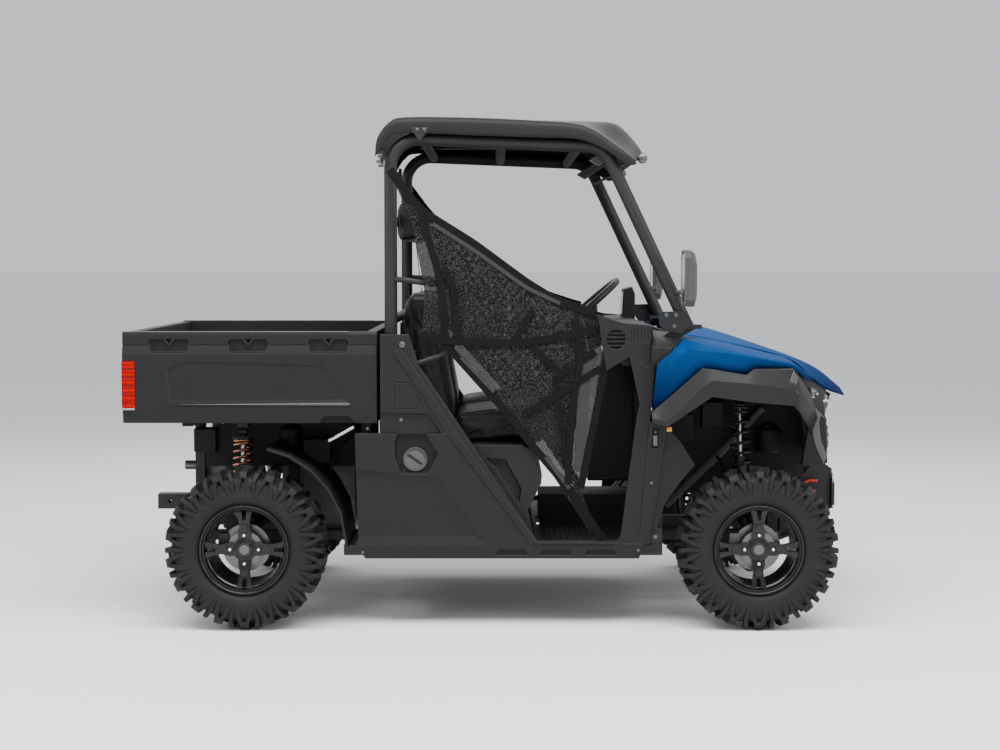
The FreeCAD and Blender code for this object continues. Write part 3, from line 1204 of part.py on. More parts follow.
def bed_side_tools():
    """Cutters of the right-hand bed wall: groove, tie-down pockets, sunken panel and skirt notch."""
    face = -BED_HALF_WIDTH
    high = BED_BAND_Z[1]
    tools = [block((REAR_END_X - 1, BED_FRONT_X + 1), (face - 1, face + BED_RIM_INSET + GROOVE),
                   (high - 1, high + 3))]
    for x in BED_POCKETS:
        outer = [(x - 70, 1115), (x + 70, 1115), (x + 82, 1100), (x + 68, 1057), (x - 68, 1057), (x - 82, 1100)]
        inner = [(x - 67, 1112), (x + 67, 1112), (x + 76, 1099), (x + 64, 1064), (x - 64, 1064), (x - 76, 1099)]
        tools.append(hollow_tool(placed(outer, aft), placed(inner, aft), face, BED_POCKET_DEPTH))
    outer = [(-1254, 1001), (-1173, 1028), (-661, 1013), (-638, 1001), (-548, 869), (-1238, 862)]
    inner = [(-1250, 1001), (-1172, 1025), (-662, 1010), (-640, 999), (-566, 880), (-1236, 880)]
    tools.append(hollow_tool(placed(outer, aft), placed(inner, aft), face, BED_PANEL_DEPTH))
    notch = [(-670, BED_BOTTOM_Z - 1), (-649, 817), (-550, 817), (-529, BED_BOTTOM_Z - 1)]
    tools.append(side_plate(placed(notch, aft), face - 1, face + BED_WALL))
    return tools


def tie_hooks():
    """V-shaped tie-down bars in the right-hand pockets."""
    back = -BED_HALF_WIDTH + BED_POCKET_DEPTH
    hooks = []
    for x in BED_POCKETS:
        bar = [(x - 24, 1114), (x - 16, 1114), (x, 1094), (x + 16, 1114), (x + 24, 1114), (x, 1084)]
        hooks.append(side_plate(placed(bar, aft), back - 12, back + 1))
    return hooks


def cargo_bed():
    """Open-topped box with double walls, corner posts beside the tailgate and hinge ears."""
    rear = REAR_END_X + TAILGATE_THICKNESS + TAILGATE_GAP
    shell = front_plate(bed_section(), REAR_END_X + 2, BED_FRONT_X)
    inner = BED_HALF_WIDTH - BED_WALL
    hollow = block((REAR_END_X + 1, BED_FRONT_X - BED_WALL), (-inner, inner),
                   (BED_BOTTOM_Z + BED_FLOOR, BED_TOP_Z + 1))
    gate_space = block((REAR_END_X + 1, rear), (-inner, inner), (BED_BOTTOM_Z - 1, BED_TOP_Z + 1))
    channels = []
    for index in range(-4, 5):
        y = index * inner / 5
        channels.append(block((rear - 1, BED_FRONT_X - BED_WALL - 30), (y - 22, y + 22),
                              (BED_BOTTOM_Z + BED_FLOOR - GROOVE, BED_BOTTOM_Z + BED_FLOOR + 1)))
    ears = []
    for side in (-1, 1):
        for y in BED_EAR_Y:
            half = BED_EAR_THICKNESS / 2
            ears.append(block((BED_HINGE_X - 22, BED_HINGE_X + 22), (side * y - half, side * y + half),
                              (BED_HINGE_Z - 20, BED_BOTTOM_Z + 1)))
    tools = bed_side_tools()
    bed = cut(shell, hollow, gate_space, *channels, *tools, *[mirror(tool) for tool in tools])
    hooks = tie_hooks()
    bore = rod((BED_HINGE_X, -BED_PIN_END_Y, BED_HINGE_Z), (BED_HINGE_X, BED_PIN_END_Y, BED_HINGE_Z),
               BED_HINGE_RADIUS + RUNNING_FIT)
    x, z = tailgate_axis()
    reach = inner + TAILGATE_PIN_LENGTH
    pin_bore = rod((x, -reach, z), (x, reach, z), TAILGATE_HINGE_RADIUS + RUNNING_FIT)
    return cut(fuse(bed, *ears, *hooks, *[mirror(hook) for hook in hooks]), bore, pin_bore)


def tailgate_axis():
    return REAR_END_X + TAILGATE_THICKNESS / 2, BED_BOTTOM_Z + BED_FLOOR + TAILGATE_GAP


def tail_lamps():
    lamp = block((REAR_END_X, REAR_END_X + 50), (-BED_HALF_WIDTH - 3, -BED_HALF_WIDTH), (840, 1028))
    return pair(lamp)


def tailgate():
    """Rear door of the bed, rounded at its foot about the hinge, with its two pins."""
    half = BED_HALF_WIDTH - BED_WALL - TAILGATE_GAP
    x, z = tailgate_axis()
    panel = block((REAR_END_X, REAR_END_X + TAILGATE_THICKNESS), (-half, half), (z, BED_TOP_Z - 4))
    foot = rod((x, -half, z), (x, half, z), TAILGATE_THICKNESS / 2)
    reach = half + TAILGATE_GAP + TAILGATE_PIN_LENGTH - 2
    pins = rod((x, -reach, z), (x, reach, z), TAILGATE_HINGE_RADIUS)
    return cut(fuse(panel, foot, pins), *gate_tools())


def gate_tools():
    """Cutters of the tailgate's outer face: a sunken field and the well of its handle."""
    wide = BED_HALF_WIDTH - 190
    tools = []
    for half, low, high, depth in ((wide, 880, 1030, 7), (75, 1064, 1112, 20)):
        start = [(REAR_END_X, y, z) for y, z in ((-half, low), (half, low), (half, high), (-half, high))]
        edge = depth * 0.8
        end = [(REAR_END_X + depth, y, z) for y, z in ((-half + edge, low + edge), (half - edge, low + edge),
                                                       (half - edge, high - edge), (-half + edge, high - edge))]
        tools.append(loft([start, end]))
    return tools


# Drive line and rear equipment

def engine():
    return block((aft(-870), aft(-570)), (-185, 185), (FLOOR_Z, 690))


def gear_cases():
    """Front and rear gear cases with lugs that rest on the rails."""
    z = AXLE_Z + GEAR_CASE_RISE
    cases = []
    for x, half, radius in ((FRONT_AXLE_X, FRONT_CASE_HALF, FRONT_CASE_RADIUS),
                            (REAR_AXLE_X, REAR_CASE_HALF, REAR_CASE_RADIUS)):
        case = rod((x, -half, z), (x, half, z), radius)
        lugs = [block((min(x + s * 40, x + s * (radius - 4)), max(x + s * 40, x + s * (radius - 4))),
                      (-NARROW_RAIL_Y, NARROW_RAIL_Y), (FLOOR_Z, FLOOR_Z + 22)) for s in (-1, 1)]
        cases.append(fuse(case, *lugs))
    return cases


def muffler():
    """Silencer hung from a frame cross tube, with its tail pipe."""
    x = MUFFLER_X
    z = MUFFLER_Z
    can = rod((x, -MUFFLER_HALF, z), (x, MUFFLER_HALF, z), MUFFLER_RADIUS)
    tail = rod((x, TAIL_PIPE_Y, z), (x - 180, TAIL_PIPE_Y, z), TAIL_PIPE_RADIUS)
    hangers = [block((x - 10, x + 10), (y - 8, y + 8), (z + 60, BED_BOTTOM_Z - BED_REST_GAP - FRAME_TUBE))
               for y in (-MUFFLER_HALF + 40, MUFFLER_HALF - 40)]
    return fuse(can, tail, *hangers)


def hitch():
    """Square receiver tube with a cross hole for its pin."""
    outer = RECEIVER_INNER / 2 + RECEIVER_WALL
    inner = RECEIVER_INNER / 2
    mouth = REAR_RAIL_X - RECEIVER_LENGTH
    tube = block((mouth, REAR_RAIL_X), (-outer, outer), (RECEIVER_Z - outer, RECEIVER_Z + outer))
    socket = block((mouth - 1, REAR_RAIL_X - 8), (-inner, inner), (RECEIVER_Z - inner, RECEIVER_Z + inner))
    pin_x = mouth + RECEIVER_PIN_INSET
    pin = rod((pin_x, -outer - 1, RECEIVER_Z), (pin_x, outer + 1, RECEIVER_Z), RECEIVER_PIN_RADIUS)
    return cut(tube, socket, pin)


def rear_liner():
    """Arched sheet ahead of the right rear wheel."""
    radius = ARCH_RADIUS
    profile = []
    for degrees in (-0.4, 20, 35, 50, 65, 78):
        angle = math.radians(degrees)
        profile.append((REAR_AXLE_X + radius * math.cos(angle), AXLE_Z + radius * math.sin(angle)))
    for degrees in (78, 65, 50, 35, 20, -0.4):
        angle = math.radians(degrees)
        profile.append((REAR_AXLE_X + (radius + 8) * math.cos(angle),
                        AXLE_Z + (radius + 8) * math.sin(angle)))
    return side_plate(profile, -BODY_HALF_WIDTH + 12, -260)


def driver_controls():
    """Pedals and gear lever."""
    pads = [side_plate([(FIREWALL_X - 60, 400), (FIREWALL_X, 470), (FIREWALL_X, 482), (FIREWALL_X - 66, 410)],
                       y - 25, y + 25) for y in (STEER_Y - 70, STEER_Y + 20)]
    y = STEER_Y - 200
    lever = rod((fore(484), y, 1072), (fore(430), y, 1102), 8)
    knob = rod((fore(430), y, 1102), (fore(396), y, 1121), 17)
    return pads + [fuse(lever, knob).cut(dashboard())]


def main():
    os.makedirs("parts", exist_ok=True)
    for name, front, side in (("front_right", True, -1), ("front_left", True, 1),
                              ("rear_right", False, -1), ("rear_left", False, 1)):
        save_wheel(name, front, side)
    save("knuckle_right", front_knuckle())
    save("knuckle_left", mirror(front_knuckle()))
    save("steering_rack", steering_rack())
    save("steering_wheel", steering_wheel())
    save("column_bearing", column_bearing())
    save("main_frame", main_frame())
    save("front_arms", *[s for arm in front_arms() for s in pair(arm)])
    save("rear_suspension", *pair(rear_suspension()))
    fronts = front_damper_points()
    rears = rear_damper_points()
    save("dampers", *pair(damper(DAMPER_X, *fronts)), *pair(damper(REAR_DAMPER_X, *rears)))
    save("springs", *pair(coil_spring(DAMPER_X, *fronts)), *pair(coil_spring(REAR_DAMPER_X, *rears)))
    save("half_shafts", *half_shafts())
    save("gear_cases", *gear_cases())
    save("engine", engine())
    save("muffler", muffler())
    save("hitch", hitch())
    save("floor_tub", tub())
    save("door_surrounds", *pair(door_surround()))
    save("side_panels", *side_panels())
    save("fuel_cap", fuel_cap())
    save("dashboard", dashboard())
    save("driver_controls", *driver_controls())
    save("seat_base", seat_base())
    save("seat_cushions", seat_cushion(-SEAT_Y), seat_cushion(SEAT_Y))
    save("seat_backs", seat_back(-SEAT_Y), seat_back(SEAT_Y))
    save("headrests", headrest(-SEAT_Y), headrest(SEAT_Y))
    save("roll_cage", roll_cage())
    save("cowl_brackets", *cowl_brackets())
    save("roof", roof())
    save("hood", hood())
    save("front_fenders", *pair(front_fender()))
    save("fender_flares", *pair(fender_flare()))
    save("front_fascia", front_fascia())
    save("headlamps", *headlamps())
    save("front_bumper", front_bumper())
    save("mirrors", *mirrors())
    save("side_guards", *pair(side_guard()))
    save("side_nets", *pair(side_net()))
    save("cargo_bed", cargo_bed())
    save("tail_lamps", *tail_lamps())
    save("tailgate", tailgate())
    save("rear_liners", *pair(rear_liner()))


main()
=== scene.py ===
import math

import bmesh
import bpy
import numpy as np
from mathutils import Matrix, Vector
from mathutils.bvhtree import BVHTree


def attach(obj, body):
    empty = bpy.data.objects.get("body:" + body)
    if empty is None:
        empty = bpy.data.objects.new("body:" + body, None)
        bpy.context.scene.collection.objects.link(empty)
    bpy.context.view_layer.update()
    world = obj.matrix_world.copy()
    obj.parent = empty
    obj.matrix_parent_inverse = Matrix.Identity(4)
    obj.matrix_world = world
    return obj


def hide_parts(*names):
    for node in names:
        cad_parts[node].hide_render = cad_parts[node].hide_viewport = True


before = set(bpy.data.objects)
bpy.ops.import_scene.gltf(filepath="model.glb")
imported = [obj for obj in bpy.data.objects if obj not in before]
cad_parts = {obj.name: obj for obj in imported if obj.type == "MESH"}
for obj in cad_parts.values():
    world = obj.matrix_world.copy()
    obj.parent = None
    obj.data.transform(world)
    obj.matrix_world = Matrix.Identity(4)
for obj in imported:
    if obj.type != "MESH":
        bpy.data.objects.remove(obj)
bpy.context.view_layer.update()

bl_info = {
    "name": "Side by side utility vehicle",
    "version": (1, 0, 0),
    "blender": (4, 5, 0),
    "location": "View3D > Sidebar > Vehicle",
    "description": "Dresses the CAD frame of a side by side utility vehicle",
    "category": "Object",
}

MM = 0.001
SIDES = ((-1, "right"), (1, "left"))
WHEELS = [(end, side, hand) for end in ("front", "rear") for side, hand in SIDES]
AXLE_X = {"front": 1016, "rear": -948}
AXLE_Z = 311
HALF_TYRE = {"front": 102.5, "rear": 127.0}
HALF_WIDTH = 785


# Shader maths

class Value:
    """A socket that takes part in sums written in Python."""

    def __init__(self, finish, socket):
        self.finish = finish
        self.socket = socket

    def join(self, operation, *values):
        return self.finish.add("ShaderNodeMath", dict(enumerate(values)), operation=operation)

    def __add__(self, other):
        return self.join("ADD", self, other)

    __radd__ = __add__

    def __sub__(self, other):
        return self.join("SUBTRACT", self, other)

    def __rsub__(self, other):
        return self.join("SUBTRACT", other, self)

    def __mul__(self, other):
        return self.join("MULTIPLY", self, other)

    __rmul__ = __mul__

    def __gt__(self, other):
        return self.join("GREATER_THAN", self, other)

    def sine(self):
        return self.join("SINE", self)

    def at_least(self, other):
        return self.join("MAXIMUM", self, other)


class Finish:
    """One material on a Principled shader, built up node by node."""

    def __init__(self, name, constants):
        self.material = bpy.data.materials.new(name)
        self.material.use_nodes = True
        self.tree = self.material.node_tree
        self.shader = self.tree.nodes["Principled BSDF"]
        for socket, value in constants.items():
            self.shader.inputs[socket].default_value = value

    def add(self, kind, inputs, output=0, **settings):
        """Add a node with its settings and the values or links of its sockets."""
        node = self.tree.nodes.new(kind)
        for name, value in settings.items():
            setattr(node, name, value)
        for key, value in inputs.items():
            self.feed(node.inputs[key], value)
        return Value(self, node.outputs[output])

    def feed(self, socket, value):
        if isinstance(value, Value):
            self.tree.links.new(value.socket, socket)
        else:
            socket.default_value = value

    def place(self):
        return self.add("ShaderNodeTexCoord", {}, "Object")

    def part(self, vector, name):
        return self.add("ShaderNodeSeparateXYZ", {0: vector}, name)

    def axis(self, name):
        return self.part(self.place(), name)

    def noise(self, scale, detail=2.0, stretch=None):
        """Cloudy value from 0 to 1; scale counts its features in a metre."""
        where = self.place()
        if stretch:
            where = self.add("ShaderNodeMapping", {"Vector": where, "Scale": stretch})
        return self.add("ShaderNodeTexNoise", {"Vector": where, "Scale": scale, "Detail": detail}, "Fac")

    def cells(self, scale, feature="F1", output="Distance"):
        return self.add("ShaderNodeTexVoronoi", {"Vector": self.place(), "Scale": scale}, output,
                        feature=feature)

    def blend(self, factor, first, second):
        return self.add("ShaderNodeMix", {"Factor": factor, 6: first, 7: second}, 2, data_type="RGBA")

    def soft_edge(self, radius):
        return self.add("ShaderNodeBevel", {"Radius": radius * MM}, samples=4)

    def below(self):
        """Share from 0 on a side to 1 underneath, where dust clings."""
        facing = self.add("ShaderNodeNewGeometry", {}, "Normal")
        return (self.part(facing, "Z") * -1.3).at_least(0.0)

    def rim(self, rounded):
        """Share from 0 on a flat face to 1 along an edge, where a painted highlight goes."""
        flat = self.add("ShaderNodeNewGeometry", {}, "Normal")
        along = self.add("ShaderNodeVectorMath", {0: rounded, 1: flat}, "Value", operation="DOT_PRODUCT")
        return (1.0 - along) * 4.0

    def surface(self, colour, rough, height=None, depth=0.0, edge=0.0):
        """Set the colour, roughness and bump; the depth and the radius of the edges are in millimetres."""
        self.feed(self.shader.inputs["Base Color"], colour)
        self.feed(self.shader.inputs["Roughness"], rough)
        if height:
            inputs = {"Height": height, "Distance": depth * MM, "Strength": 1.0}
            if edge:
                inputs["Normal"] = edge if isinstance(edge, Value) else self.soft_edge(edge)
            self.feed(self.shader.inputs["Normal"], self.add("ShaderNodeBump", inputs))
        return self.material


def shade(colour, factor=1.0):
    """Opaque colour, its brightness scaled."""
    return tuple(channel * factor for channel in colour[:3]) + (1.0,)


def moulded_plastic(name, colour, roughness=0.52):
    """Grained moulding: fine pebble, faint flow patches and scuffs, with a painted highlight along the edges.
    """
    finish = Finish(name, {"IOR": 1.42, "Specular IOR Level": 0.26})
    patches = finish.noise(5.0, 3.0)
    scuffs = finish.noise(60.0, 4.0, (1.0, 1.0, 3.0))
    pebble = finish.cells(1500.0) + finish.noise(600.0) * 0.6
    base = finish.blend((scuffs > 0.63) * 0.35 + patches * 0.5, shade(colour, 0.88), shade(colour, 1.22))
    rounded = finish.soft_edge(4.0)
    # Painted highlight: every edge is lightened towards four times the colour.
    surface_tone = finish.blend(finish.rim(rounded), base, shade(colour, 4.0))
    return finish.surface(surface_tone, patches * 0.12 + (roughness - 0.06) + scuffs * 0.06, pebble, 0.05, rounded)


def coated_steel(name, colour, roughness, edge=1.5, coat=0.05, under=0.0):
    """Powder coat: slight orange peel over a smooth film, with dust underneath."""
    finish = Finish(name, {"IOR": 1.45, "Specular IOR Level": 0.36, "Coat Weight": coat,
                           "Coat Roughness": 0.25})
    dust = finish.noise(14.0, 4.0)
    tone = finish.blend(dust, shade(colour, 0.9), shade(colour, 1.3))
    return finish.surface(tone, dust * 0.16 + (roughness - 0.08) + finish.below() * under,
                          finish.noise(420.0, 1.0), 0.04, edge)


def gloss_paint(name, low, high):
    """Metallic paint under clear coat, with painted light: lighter towards the top of the panel, and darker
    towards its foot as painted shade.
    """
    finish = Finish(name, {"Coat Weight": 0.02, "Coat Roughness": 0.2, "Metallic": 0.04, "IOR": 1.18,
                           "Specular IOR Level": 0.12})
    # Painted light and shade: the colour runs from the shaded paint at 0.86 m up to the lit paint at 1.12 m.
    height = finish.add("ShaderNodeMapRange", {"Value": finish.axis("Z"), "From Min": 0.86, "From Max": 1.12})
    flake = finish.part(finish.cells(2600.0, output="Color"), "X")
    base = finish.blend(height, shade(low), shade(high))
    return finish.surface(finish.blend(flake * 0.06, base, shade(high, 1.3)), flake * 0.12 + 0.5,
                          finish.noise(260.0, 1.0), 0.012, 3.0)


def tyre_rubber(name):
    """Rubber with dust and faint streaks."""
    finish = Finish(name, {"IOR": 1.45, "Specular IOR Level": 0.24})
    dust = finish.noise(9.0, 5.0)
    streaks = finish.noise(70.0, 3.0)
    tone = finish.blend(dust * 0.7 + streaks * 0.3, (0.006, 0.006, 0.0062, 1), (0.017, 0.017, 0.0175, 1))
    return finish.surface(tone, streaks * 0.2 + 0.5, finish.noise(520.0, 3.0), 0.12, 1.2)


def bare_metal(name, colour, roughness):
    """Machined or cast metal with tool marks and stains."""
    finish = Finish(name, {"Metallic": 1.0})
    marks = finish.noise(90.0, 3.0, (1.0, 14.0, 1.0))
    stain = finish.noise(16.0, 4.0)
    return finish.surface(finish.blend(stain, shade(colour, 0.72), shade(colour)),
                          marks * 0.22 + stain * 0.12 + (roughness - 0.15), marks, 0.03, 0.8)


def cast_metal(name, colour):
    """Sand-cast metal with patches of grime."""
    finish = Finish(name, {"Metallic": 0.75})
    grime = finish.noise(11.0, 4.0)
    return finish.surface(finish.blend(grime, shade(colour, 0.45), shade(colour)), grime * 0.2 + 0.42,
                          finish.noise(320.0, 4.0), 0.16, 2.0)


def seat_vinyl(name, colour):
    """Grained vinyl with soft creases."""
    finish = Finish(name, {"IOR": 1.42, "Specular IOR Level": 0.35})
    hide = finish.cells(420.0, "DISTANCE_TO_EDGE")
    creases = finish.noise(26.0, 3.0, (1.0, 0.35, 1.0))
    tone = finish.noise(7.0, 2.0)
    surface_tone = finish.blend(tone * 0.6 + creases * 0.4, shade(colour, 0.82), shade(colour, 1.25))
    return finish.surface(surface_tone, tone * 0.12 + 0.38, hide * 0.5 + creases * 1.6, 0.5)


def webbing(name, colour, pitch=1150.0):
    """Woven strap: crossing threads, each row offset from the last."""
    finish = Finish(name, {"IOR": 1.35, "Specular IOR Level": 0.15})
    weave = (finish.axis("X") * pitch).sine() * (finish.axis("Z") * pitch).sine() * 0.5 + 0.5
    fuzz = finish.noise(900.0, 2.0)
    tone = finish.blend(weave * 0.7 + fuzz * 0.3, shade(colour, 0.6), shade(colour, 1.35))
    return finish.surface(tone, fuzz * 0.15 + 0.68, weave, 0.22)


def open_mesh(name, thread, pitch=900.0):
    """Knitted mesh: dark thread with painted glints on its knots, round holes that are really open."""
    finish = Finish(name, {"IOR": 1.35, "Specular IOR Level": 0.1})
    skew = finish.noise(30.0, 2.0) * 3.0
    knit = (finish.axis("X") * pitch + skew).sine() * (finish.axis("Z") * pitch * 0.85 + skew).sine()
    speck = finish.noise(190.0, 1.0)
    # Painted glints: specks on the knots, lightened towards four times the thread colour.
    glint = ((speck - 0.44) * 4.0 + knit * 0.2).at_least(0.0)
    finish.feed(finish.shader.inputs["Alpha"], (knit > -0.55) * 0.55 + 0.45)
    return finish.surface(finish.blend(glint, shade(thread, 0.4), shade(thread, 4.0)), speck * 0.2 + 0.62,
                          knit, 0.4)


def lamp_lens(name, colour, glow=0.0):
    """Ribbed lens over a lit or unlit housing."""
    finish = Finish(name, {"IOR": 1.4, "Specular IOR Level": 0.1, "Coat Weight": 0.06,
                           "Coat Roughness": 0.03})
    ribs = (finish.axis("Z") * 420.0).sine() * 0.5 + 0.5
    cells = finish.cells(120.0)
    lit = finish.blend(ribs * 0.6 + cells * 0.4, shade(colour, 0.55), shade(colour, 1.25))
    if glow:
        finish.shader.inputs["Emission Strength"].default_value = glow
        finish.feed(finish.shader.inputs["Emission Color"], lit)
    return finish.surface(lit, cells * 0.1 + 0.12, ribs + cells, 0.35)


def stage_floor(name, colour):
    """Pale matt floor with a faint unevenness."""
    finish = Finish(name, {"Specular IOR Level": 0.2})
    soft = finish.noise(0.6, 2.0)
    return finish.surface(finish.blend(soft, shade(colour, 0.985), shade(colour)), soft * 0.05 + 0.7)


LOOKS = {
    "studio_floor": ("floor", stage_floor, "floor"),
    "moulded_black": ("black_plastic", moulded_plastic, "moulding"),
    "moulded_grey": ("grey_plastic", moulded_plastic, "flare", 0.46),
    "mirror_grey": ("grey_plastic", moulded_plastic, (0.055, 0.055, 0.055), 0.4),
    "bracket_grey": ("grey_plastic", moulded_plastic, (0.06, 0.06, 0.06), 0.42),
    # This grey serves trim and painted highlights: the pale line along the top of the bed and the facet on
    # the front end of each flare.
    "trim_grey": ("grey_plastic", moulded_plastic, (0.07, 0.07, 0.07), 0.42),
    "buckle_red": ("lamp_red", moulded_plastic, (0.35, 0.01, 0.01), 0.35),
    "blue_paint": ("blue_paint", gloss_paint, "paint_low", "paint_high"),
    "cage_black": ("cage_black", coated_steel, "tube", 0.44, 2.0, 0.0, 0.6),
    "wheel_black": ("wheel_black", coated_steel, (0.006, 0.006, 0.0065), 0.26, 1.0),
    "spring_black": ("spring_black", coated_steel, (0.016, 0.016, 0.016), 0.3),
    "radiator_black": ("cage_black", coated_steel, (0.012, 0.012, 0.012), 0.5),
    "lamp_black": ("lamp_clear", coated_steel, (0.006, 0.006, 0.007), 0.12),
    "display_glass": ("lamp_clear", coated_steel, (0.01, 0.014, 0.02), 0.1),
    "hook_red": ("lamp_red", coated_steel, (0.45, 0.03, 0.01), 0.35),
    "bright_steel": ("bright_steel", bare_metal, (0.62, 0.62, 0.60), 0.24),
    "satin_steel": ("bright_steel", bare_metal, (0.16, 0.16, 0.16), 0.36),
    "cap_steel": ("bright_steel", bare_metal, (0.15, 0.15, 0.155), 0.32),
    "nut_chrome": ("bright_steel", bare_metal, (0.86, 0.86, 0.88), 0.17),
    "mirror_glass": ("bright_steel", bare_metal, (0.85, 0.87, 0.9), 0.16),
    "cable_grey": ("bright_steel", bare_metal, (0.3, 0.3, 0.3), 0.4),
    "spring_copper": ("spring_black", bare_metal, (0.42, 0.20, 0.12), 0.3),
    "cast_grey": ("cast_grey", cast_metal, (0.16, 0.16, 0.165)),
    "tyre_rubber": ("tyre_rubber", tyre_rubber),
    "mat_rubber": ("tyre_rubber", tyre_rubber),
    "hose_rubber": ("tyre_rubber", tyre_rubber),
    "foam_black": ("tyre_rubber", tyre_rubber),
    "boot_rubber": ("boot_rubber", tyre_rubber),
    "seat_cover": ("seat_cover", seat_vinyl, "seat"),
    "seat_piping": ("seat_cover", seat_vinyl, "piping"),
    "net_strap": ("net_fabric", webbing, "strap"),
    "net_band": ("net_fabric", webbing, (0.035, 0.035, 0.035), 1800.0),
    "belt_web": ("net_fabric", webbing, (0.03, 0.03, 0.032), 1500.0),
    "net_mesh": ("net_fabric", open_mesh, "mesh"),
    "lamp_red": ("lamp_red", lamp_lens, (0.36, 0.0, 0.0)),
    "lamp_amber": ("lamp_red", lamp_lens, (0.40, 0.16, 0.03)),
    "lamp_white": ("lamp_clear", lamp_lens, (0.62, 0.64, 0.66), 0.25),
}


def finish(look):
    """Material of a look, made once; a name among its values is one of the colours in the settings."""
    name = "finish_" + look
    _, maker, *values = LOOKS[look]
    colours = bpy.context.scene.vehicle_colours
    values = [tuple(getattr(colours, value)) if isinstance(value, str) else value for value in values]
    return bpy.data.materials.get(name) or maker(name, *values)


def dress(look, *nodes):
    """Give CAD nodes their finish."""
    for node in nodes:
        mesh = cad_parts[node].data
        if not mesh.materials:
            mesh.materials.append(finish(look))
        for index in range(len(mesh.materials)):
            mesh.materials[index] = finish(look)


# Mesh building, in millimetres

class Form:
    """Points and faces of one piece before they become a mesh."""

    def __init__(self, points=(), faces=()):
        self.points = list(points)
        self.faces = list(faces)

    def rings(self, rings, caps=True, around=True):
        """Skin through rings of equal count."""
        start = len(self.points)
        count = len(rings[0])
        for ring in rings:
            self.points += [tuple(point) for point in ring]
        last = count if around else count - 1
        for row in range(len(rings) - 1):
            for column in range(last):
                a = start + row * count + column
                b = start + row * count + (column + 1) % count
                self.faces.append((a, b, b + count, a + count))
        if caps:
            self.faces.append(tuple(range(start + count - 1, start - 1, -1)))
            end = start + (len(rings) - 1) * count
            self.faces.append(tuple(range(end, end + count)))
        return self

    def prism(self, outline, low, high):
        """Plate with an outline of (x, z) points between two values of y."""
        return self.rings([[(x, y, z) for x, z in outline] for y in (low, high)])

    def box(self, x, y, z):
        return self.prism([(x[0], z[0]), (x[1], z[0]), (x[1], z[1]), (x[0], z[1])], *y)

    def tube(self, points, radius, sides=14, bend=40):
        """Round bar along a path with rounded corners."""
        return self.rings(swept(rounded(points, bend), radius, sides))

    def turned(self, profile, centre, steps, side=1):
        """Skin turned about the line along Y, from (radius, y) points."""
        cx, cy, cz = centre
        turns = [2 * math.pi * i / steps for i in range(steps)]
        return self.rings([[(cx + radius * math.sin(turn), cy + side * across, cz + radius * math.cos(turn))
                            for turn in turns] for radius, across in profile], False)

    def stack(self, place, facing, profile, sides=24):
        """Round or many-sided piece along a direction, from (radius, lift) points."""
        return self.rings([ring_at(place, facing, radius, sides, lift) for radius, lift in profile])

    def bolt(self, place, facing, size=7):
        """Hexagon head on its washer."""
        self.stack(place, facing, ((size * 1.3, 0), (size * 1.3, size * 0.22), (size * 1.15, size * 0.3)))
        head = ((size, size * 0.2), (size, size * 0.75), (size * 0.82, size * 0.9))
        return self.stack(place, facing, head, 6)

    def skin(self, grid):
        """Open sheet through rows of points."""
        return self.rings(grid, False, False)

    def mirrored(self):
        return Form([(x, -y, z) for x, y, z in self.points], [tuple(reversed(face)) for face in self.faces])

    def both(self):
        """This form and its twin on the other side of the vehicle."""
        twin = self.mirrored()
        count = len(self.points)
        faces = [tuple(count + index for index in face) for face in twin.faces]
        return Form(self.points + twin.points, self.faces + faces)

    def turned_by(self, degrees, centre):
        """This form turned about a line along Y."""
        turn = Matrix.Rotation(math.radians(degrees), 3, "Y")
        middle = Vector(centre)
        return Form([tuple(turn @ (Vector(point) - middle) + middle) for point in self.points], self.faces)

    def thing(self, name, look):
        """Object of this form, shaded smooth."""
        mesh = bpy.data.meshes.new(name)
        mesh.from_pydata([tuple(c * MM for c in point) for point in self.points], [], self.faces)
        mesh.polygons.foreach_set("use_smooth", [True] * len(mesh.polygons))
        mesh.materials.append(finish(look))
        return linked(name, mesh)

    def piece(self, name, look, body="chassis", edge=0.0, smooth=35, thick=0.0, replaces=()):
        """Object of this form that rides on a body, with bevelled edges or the thickness of a sheet."""
        thing = self.thing(name, look)
        mesh = thing.data
        mesh.validate()
        fix_normals(mesh)
        if not edge and smooth < 180:
            mesh.set_sharp_from_angle(angle=math.radians(smooth))
        if edge:
            bevel = thing.modifiers.new("edges", "BEVEL")
            bevel.width = edge * MM
            bevel.segments = 2
            bevel.limit_method = "ANGLE"
            bevel.angle_limit = math.radians(smooth)
            thing.modifiers.new("faces", "WEIGHTED_NORMAL")
        if thick:
            sheet = thing.modifiers.new("thickness", "SOLIDIFY")
            sheet.thickness = thick * MM
            sheet.offset = 0
        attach(thing, body)
        if replaces:
            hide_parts(*replaces)
        return thing


def linked(name, data):
    """New object in the scene."""
    thing = bpy.data.objects.new(name, data)
    bpy.context.scene.collection.objects.link(thing)
    return thing


def fix_normals(mesh):
    """Turn every face outwards."""
    work = bmesh.new()
    work.from_mesh(mesh)
    bmesh.ops.recalc_face_normals(work, faces=work.faces)
    work.to_mesh(mesh)
    work.free()


def square_to(ahead, seed):
    """Direction at right angles to another, as near to the seed as can be."""
    return (seed - ahead * seed.dot(ahead)).normalized()


def circle(middle, side, other, radius, sides):
    """Ring of points in the plane of two directions."""
    turns = [2 * math.pi * i / sides for i in range(sides)]
    return [middle + side * math.cos(turn) * radius + other * math.sin(turn) * radius for turn in turns]


def ring_at(place, facing, radius, sides, lift):
    """Ring of points about a direction."""
    ahead = Vector(facing).normalized()
    side = square_to(ahead, Vector((0, 0, 1)) if abs(ahead.z) < 0.9 else Vector((1, 0, 0)))
    return circle(Vector(place) + ahead * lift, side, ahead.cross(side), radius, sides)


